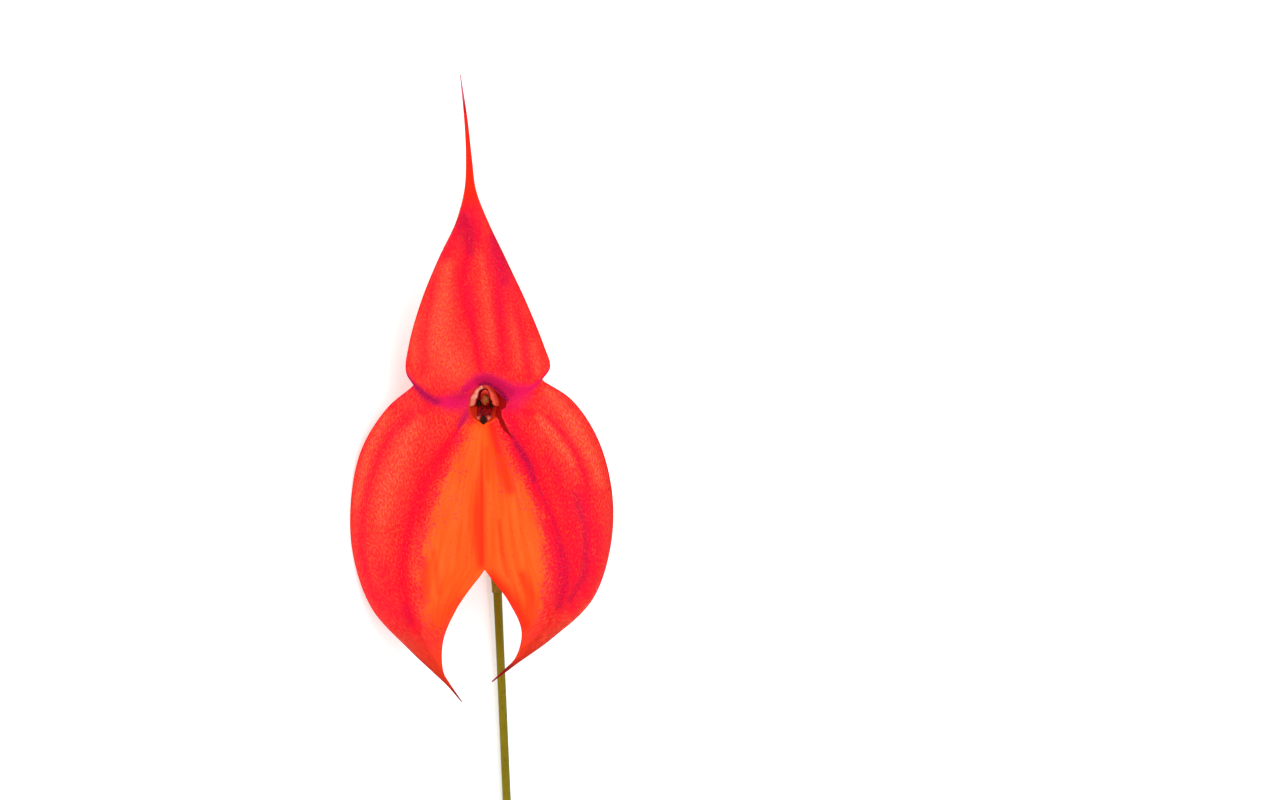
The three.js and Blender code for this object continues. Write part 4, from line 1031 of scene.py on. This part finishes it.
# ---- The petals ---------------------------------------------------------------------------------
# Two small stiff plates stand on the cup's floor along its walls, and arch together over the column.
# Their front margins are thick, waxy and turned in.
PETAL_ROWS, PETAL_COLUMNS = 64, 36
PETAL_STATIONS = [  # height, distance from the cup's axis, half the angle that it spans in degrees
    (-14.3, 1.94, 17), (-12.2, 2.92, 27), (-9.8, 3.6, 35), (-7.2, 3.72, 40), (-4.8, 3.45, 44),
    (-2.8, 3.4, 44), (-1.5, 3.4, 43), (-0.95, 3.1, 42), (-0.95, 2.6, 41), (-1.3, 2.1, 39)]
PETAL_RAISED = 38  # degrees, the middle of that angle above the throat's widest place
PETAL_REACH = {"petal_left": 4, "petal_right": 14}  # degrees more at the front, where one laps the other
PETAL_CORNER = 9  # degrees, how much its lower front corner is cut back
PETAL_ARCH = 1.5  # how much less the front margin is turned in where the two petals meet
PETAL_RIPPLES, PETAL_RIPPLE_HEIGHT = 9, 0.05
PETAL_BOW = 0.5  # how far its front edge falls off to its corners
# how much of each petal's colour is painted shade: the right petal is painted redder, as in shade
PETAL_SHADE = {"petal_left": 0.05, "petal_right": 0.95}
PETAL_MARGIN = {"petal_left": (0.88, 0.94), "petal_right": (0.93, 0.97)}  # where the dark margin starts
PETAL_THICKNESS = 0.6
CUP_FLOOR = -14
CUP_RADIUS = (THROAT_HALF_WIDTH + THROAT_HALF_HEIGHT) / 2
for side, name in ((-1, "petal_left"), (1, "petal_right")):
    station = through(PETAL_STATIONS)
    petal_points = np.zeros((PETAL_ROWS + 1, PETAL_COLUMNS + 1, 3))
    share = np.linspace(-1, 1, PETAL_COLUMNS + 1)
    upper = share * side
    for row in range(PETAL_ROWS + 1):
        up = row / PETAL_ROWS
        height, radius, opening = station(up * (len(PETAL_STATIONS) - 1))
        reach = PETAL_REACH[name] * smooth(height, -6, -2.5) * (1 + upper) / 2
        corner = PETAL_CORNER * smooth(up, 0.82, 1) * (1 - upper) / 2
        angle = np.radians(PETAL_RAISED + opening * upper + reach + corner)
        oval = smooth(height, CUP_FLOOR, RIM_HEIGHT)
        ripple = PETAL_RIPPLE_HEIGHT * np.sin(PETAL_RIPPLES * share + side) * smooth(height, -4, -1.5)
        arch = smooth(np.degrees(angle), 35, 85) * smooth(up, 0.6, 1)
        radius = radius + ripple + PETAL_ARCH * arch
        petal_points[row] = np.stack([
            side * radius * (1 + oval * (THROAT_HALF_WIDTH / CUP_RADIUS - 1)) * np.cos(angle),
            radius * (1 + oval * (THROAT_HALF_HEIGHT / CUP_RADIUS - 1)) * np.sin(angle),
            height - PETAL_BOW * share ** 2 * smooth(height, -3, -1)], axis=1)
    petal, _, _ = lay_grid(name + "_plate", petal_points)
    bpy.ops.object.shade_smooth()
    thicken(petal, PETAL_THICKNESS)
    rounding = petal.modifiers.new("rounding", "SUBSURF")
    rounding.levels = rounding.render_levels = 1
    bpy.ops.object.modifier_apply(modifier=rounding.name)

    petal_wax, tree = new_material(name + "_wax", 0.4, 0.15)
    in_space, on_petal = coordinates(tree)
    up_petal = axis_of(tree, on_petal, "Y")
    blush = ramp(tree, grain(tree, in_space, 800.0, detail=3.0), 0.35, 0.65)
    waxy = blend(tree, blush, linear(230, 156, 138), linear(216, 110, 90))
    # the same wax, redder, as painted shade
    shaded_wax = coats(
        tree, linear(206, 54, 34),
        (blush, linear(190, 34, 16)),
        (ramp(tree, up_petal, 0.8, 0.86), linear(226, 78, 52)))
    colour = coats(
        tree, waxy,
        (PETAL_SHADE[name], shaded_wax),
        (ramp(tree, up_petal, 0.75, 0.66), linear(204, 54, 24)),
        (ramp(tree, up_petal, *PETAL_MARGIN[name]), linear(112, 2, 10)))
    dress(petal, petal_wax, colour, grain(tree, on_petal, 1.0, (26, 8, 1)), 0.06)

    lay_down(petal)
    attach(petal, "root")
    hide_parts(name)

# ---- The lip ------------------------------------------------------------------------------------
# A fleshy tongue hinged under the column, maroon and finely warty, with two low keels. Its pointed tip is
# almost black, hangs over the rim of the throat and is covered in warts.
LIP_LINE = [
    (0, -1.35, -13.6), (0, -1.6, -10.5), (0, -1.2, -7), (0, -0.65, -3.8), (-0.02, -0.8, -1.6),
    (-0.05, -2.25, -0.1), (-0.1, -3.3, 0.35), (-0.12, -4.45, 0.5)]
LIP_STATIONS = [
    (0, 0.5, 0.38), (1, 0.95, 0.4), (2, 1.25, 0.4), (3, 1.5, 0.4), (4, 1.6, 0.4), (5, 1.6, 0.36),
    (5.5, 1.6, 0.3), (6, 1.2, 0.28), (6.35, 0.9, 0.26), (6.75, 0.5, 0.24), (7, 0.05, 0.08)]
LIP_RINGS, LIP_SIDES = 180, 72
LIP_KEEL_HEIGHT = 0.16
LIP_KEEL_PLACE, LIP_KEEL_WIDTH = 0.5, 0.22  # radians from its top, to each side
LIP_KEEL_START, LIP_KEEL_END = (0.1, 0.25), (0.6, 0.7)  # shares of its length
CALLUS_AXIS = -0.1
CALLUS_HALF_WIDTH = [(-2.2, 0.02), (-2.8, 0.5), (-3.3, 0.6), (-3.65, 0.78), (-4.6, 0.05)]  # at each height
CALLUS_FOOT = -0.6
CALLUS_THICKNESS = 0.22
WART_HEIGHT = 0.16
LIP_LOBES = [(-1.25, 0.2, 0.5, 0.9), (1.6, 0.1, 0.45, 0.8)]  # x, y, half width and half height of each
LIP_LOBES_HEIGHT = -2.6
LIP_LOBES_DEPTH = 0.6


def lip_relief(share, angle):
    from_keel = np.abs(angle - np.pi / 2) - LIP_KEEL_PLACE
    keels = LIP_KEEL_HEIGHT * np.exp(-(from_keel / LIP_KEEL_WIDTH) ** 2) * smooth(share, *LIP_KEEL_START)
    return 1 + keels * (1 - smooth(share, *LIP_KEEL_END))


lip_points = rolled(LIP_LINE, LIP_STATIONS, LIP_RINGS, LIP_SIDES, lip_relief)
x, y, z = (lip_points[..., axis].copy() for axis in range(3))
callus_height, callus_width = zip(*CALLUS_HALF_WIDTH)
half_width = np.interp(-y, -np.array(callus_height), callus_width)
from_axis = np.abs(x - CALLUS_AXIS)
callus = (1 - smooth(from_axis / half_width, 0.85, 1.1)) * (z > CALLUS_FOOT)
margin = smooth(from_axis - half_width, 0.2, 0.6) * smooth(-y, 2.3, 3.1)
warts = np.abs(np.sin(9 * x + 2) * np.sin(8 * y))
lip_points[..., 2] += callus * (CALLUS_THICKNESS + WART_HEIGHT * warts)
lip, row, across = lay_grid("lip_tongue", lip_points)
paint(lip, "callus", callus[row, across])
paint(lip, "margin", margin[row, across])
close_up(lip)
for x, y, half_width, half_height in LIP_LOBES:
    bpy.ops.mesh.primitive_uv_sphere_add(segments=24, ring_count=16, radius=MM)
    lobe = bpy.context.object
    lobe.data.transform(Matrix.Translation(Vector((x, y, LIP_LOBES_HEIGHT)) * MM)
                        @ Matrix.Diagonal((half_width, half_height, LIP_LOBES_DEPTH, 1)))
    bpy.ops.object.shade_smooth()
    paint(lobe, "callus", np.ones(len(lobe.data.vertices)))
    lip.select_set(True)
    bpy.context.view_layer.objects.active = lip
    bpy.ops.object.join()

lip_flesh, tree = new_material("lip_flesh", 0.5, 0.1)
in_space, on_lip = coordinates(tree)
colour = coats(
    tree, linear(78, 0, 4),
    (ramp(tree, grain(tree, in_space, 1700.0), 0.38, 0.62), linear(152, 2, 12)),
    (ramp(tree, axis_of(tree, on_lip, "Y"), 0.4, 0.2), linear(190, 90, 80)),
    (share_of(tree, "margin"), linear(222, 110, 92)),
    (share_of(tree, "callus"), linear(40, 18, 6)))
dress(lip, lip_flesh, colour, pimples(tree, in_space, 4800.0), 0.12)

lay_down(lip)
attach(lip, "root")
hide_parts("lip")

# ---- The studio ---------------------------------------------------------------------------------
# A pale table, a broad soft light from the right and in front, a weaker one from the lower left, and an
# even white surround.
TABLE_SIZE = 6
CAMERA_DISTANCE = 1000
CAMERA_ASIDE = Vector((35.1, 1.1, 0))
CAMERA_LENS = 125
SUNS = [  # name, where it comes from in the bloom's own frame, strength, and how many degrees broad it is
    ("key_light", Vector((0.45, 0.3, 0.84)), 0.95, 50),
    ("fill_light", Vector((-0.55, -0.45, 0.7)), 0.35, 60)]
bpy.ops.object.select_all(action="DESELECT")
bpy.ops.mesh.primitive_plane_add(size=TABLE_SIZE)
table = bpy.context.object
table.name = "table_top"
pale_table, tree = new_material("pale_table", 0.85, 0.1)
shader = tree.nodes["Principled BSDF"]
shader.inputs["Emission Color"].default_value = (1, 1, 1, 1)
shader.inputs["Emission Strength"].default_value = 0.35
shader.inputs["Base Color"].default_value = (0.9, 0.9, 0.9, 1)
table.data.materials.append(pale_table)

camera = bpy.data.objects.new("camera", bpy.data.cameras.new("camera"))
bpy.context.collection.objects.link(camera)
camera_place = (CAMERA_ASIDE + Vector((0, 0, CAMERA_DISTANCE))) * MM
camera.matrix_world = LAID_DOWN @ Matrix.Translation(camera_place)
camera.data.sensor_width = 36
camera.data.lens = CAMERA_LENS
camera.data.clip_start = 0.01
bpy.context.scene.camera = camera

for name, place, strength, breadth in SUNS:
    sun = bpy.data.objects.new(name, bpy.data.lights.new(name, "SUN"))
    bpy.context.collection.objects.link(sun)
    sun.data.energy = strength
    sun.data.angle = math.radians(breadth)
    sun.rotation_euler = (LAID_DOWN.to_3x3() @ place).to_track_quat("Z", "Y").to_euler()

surround = bpy.data.worlds.new("surround")
bpy.context.scene.world = surround
surround.use_nodes = True
surround.node_tree.nodes["Background"].inputs["Color"].default_value = (1, 1, 1, 1)
surround.node_tree.nodes["Background"].inputs["Strength"].default_value = 0.9
bpy.context.scene.view_settings.view_transform = "Standard"
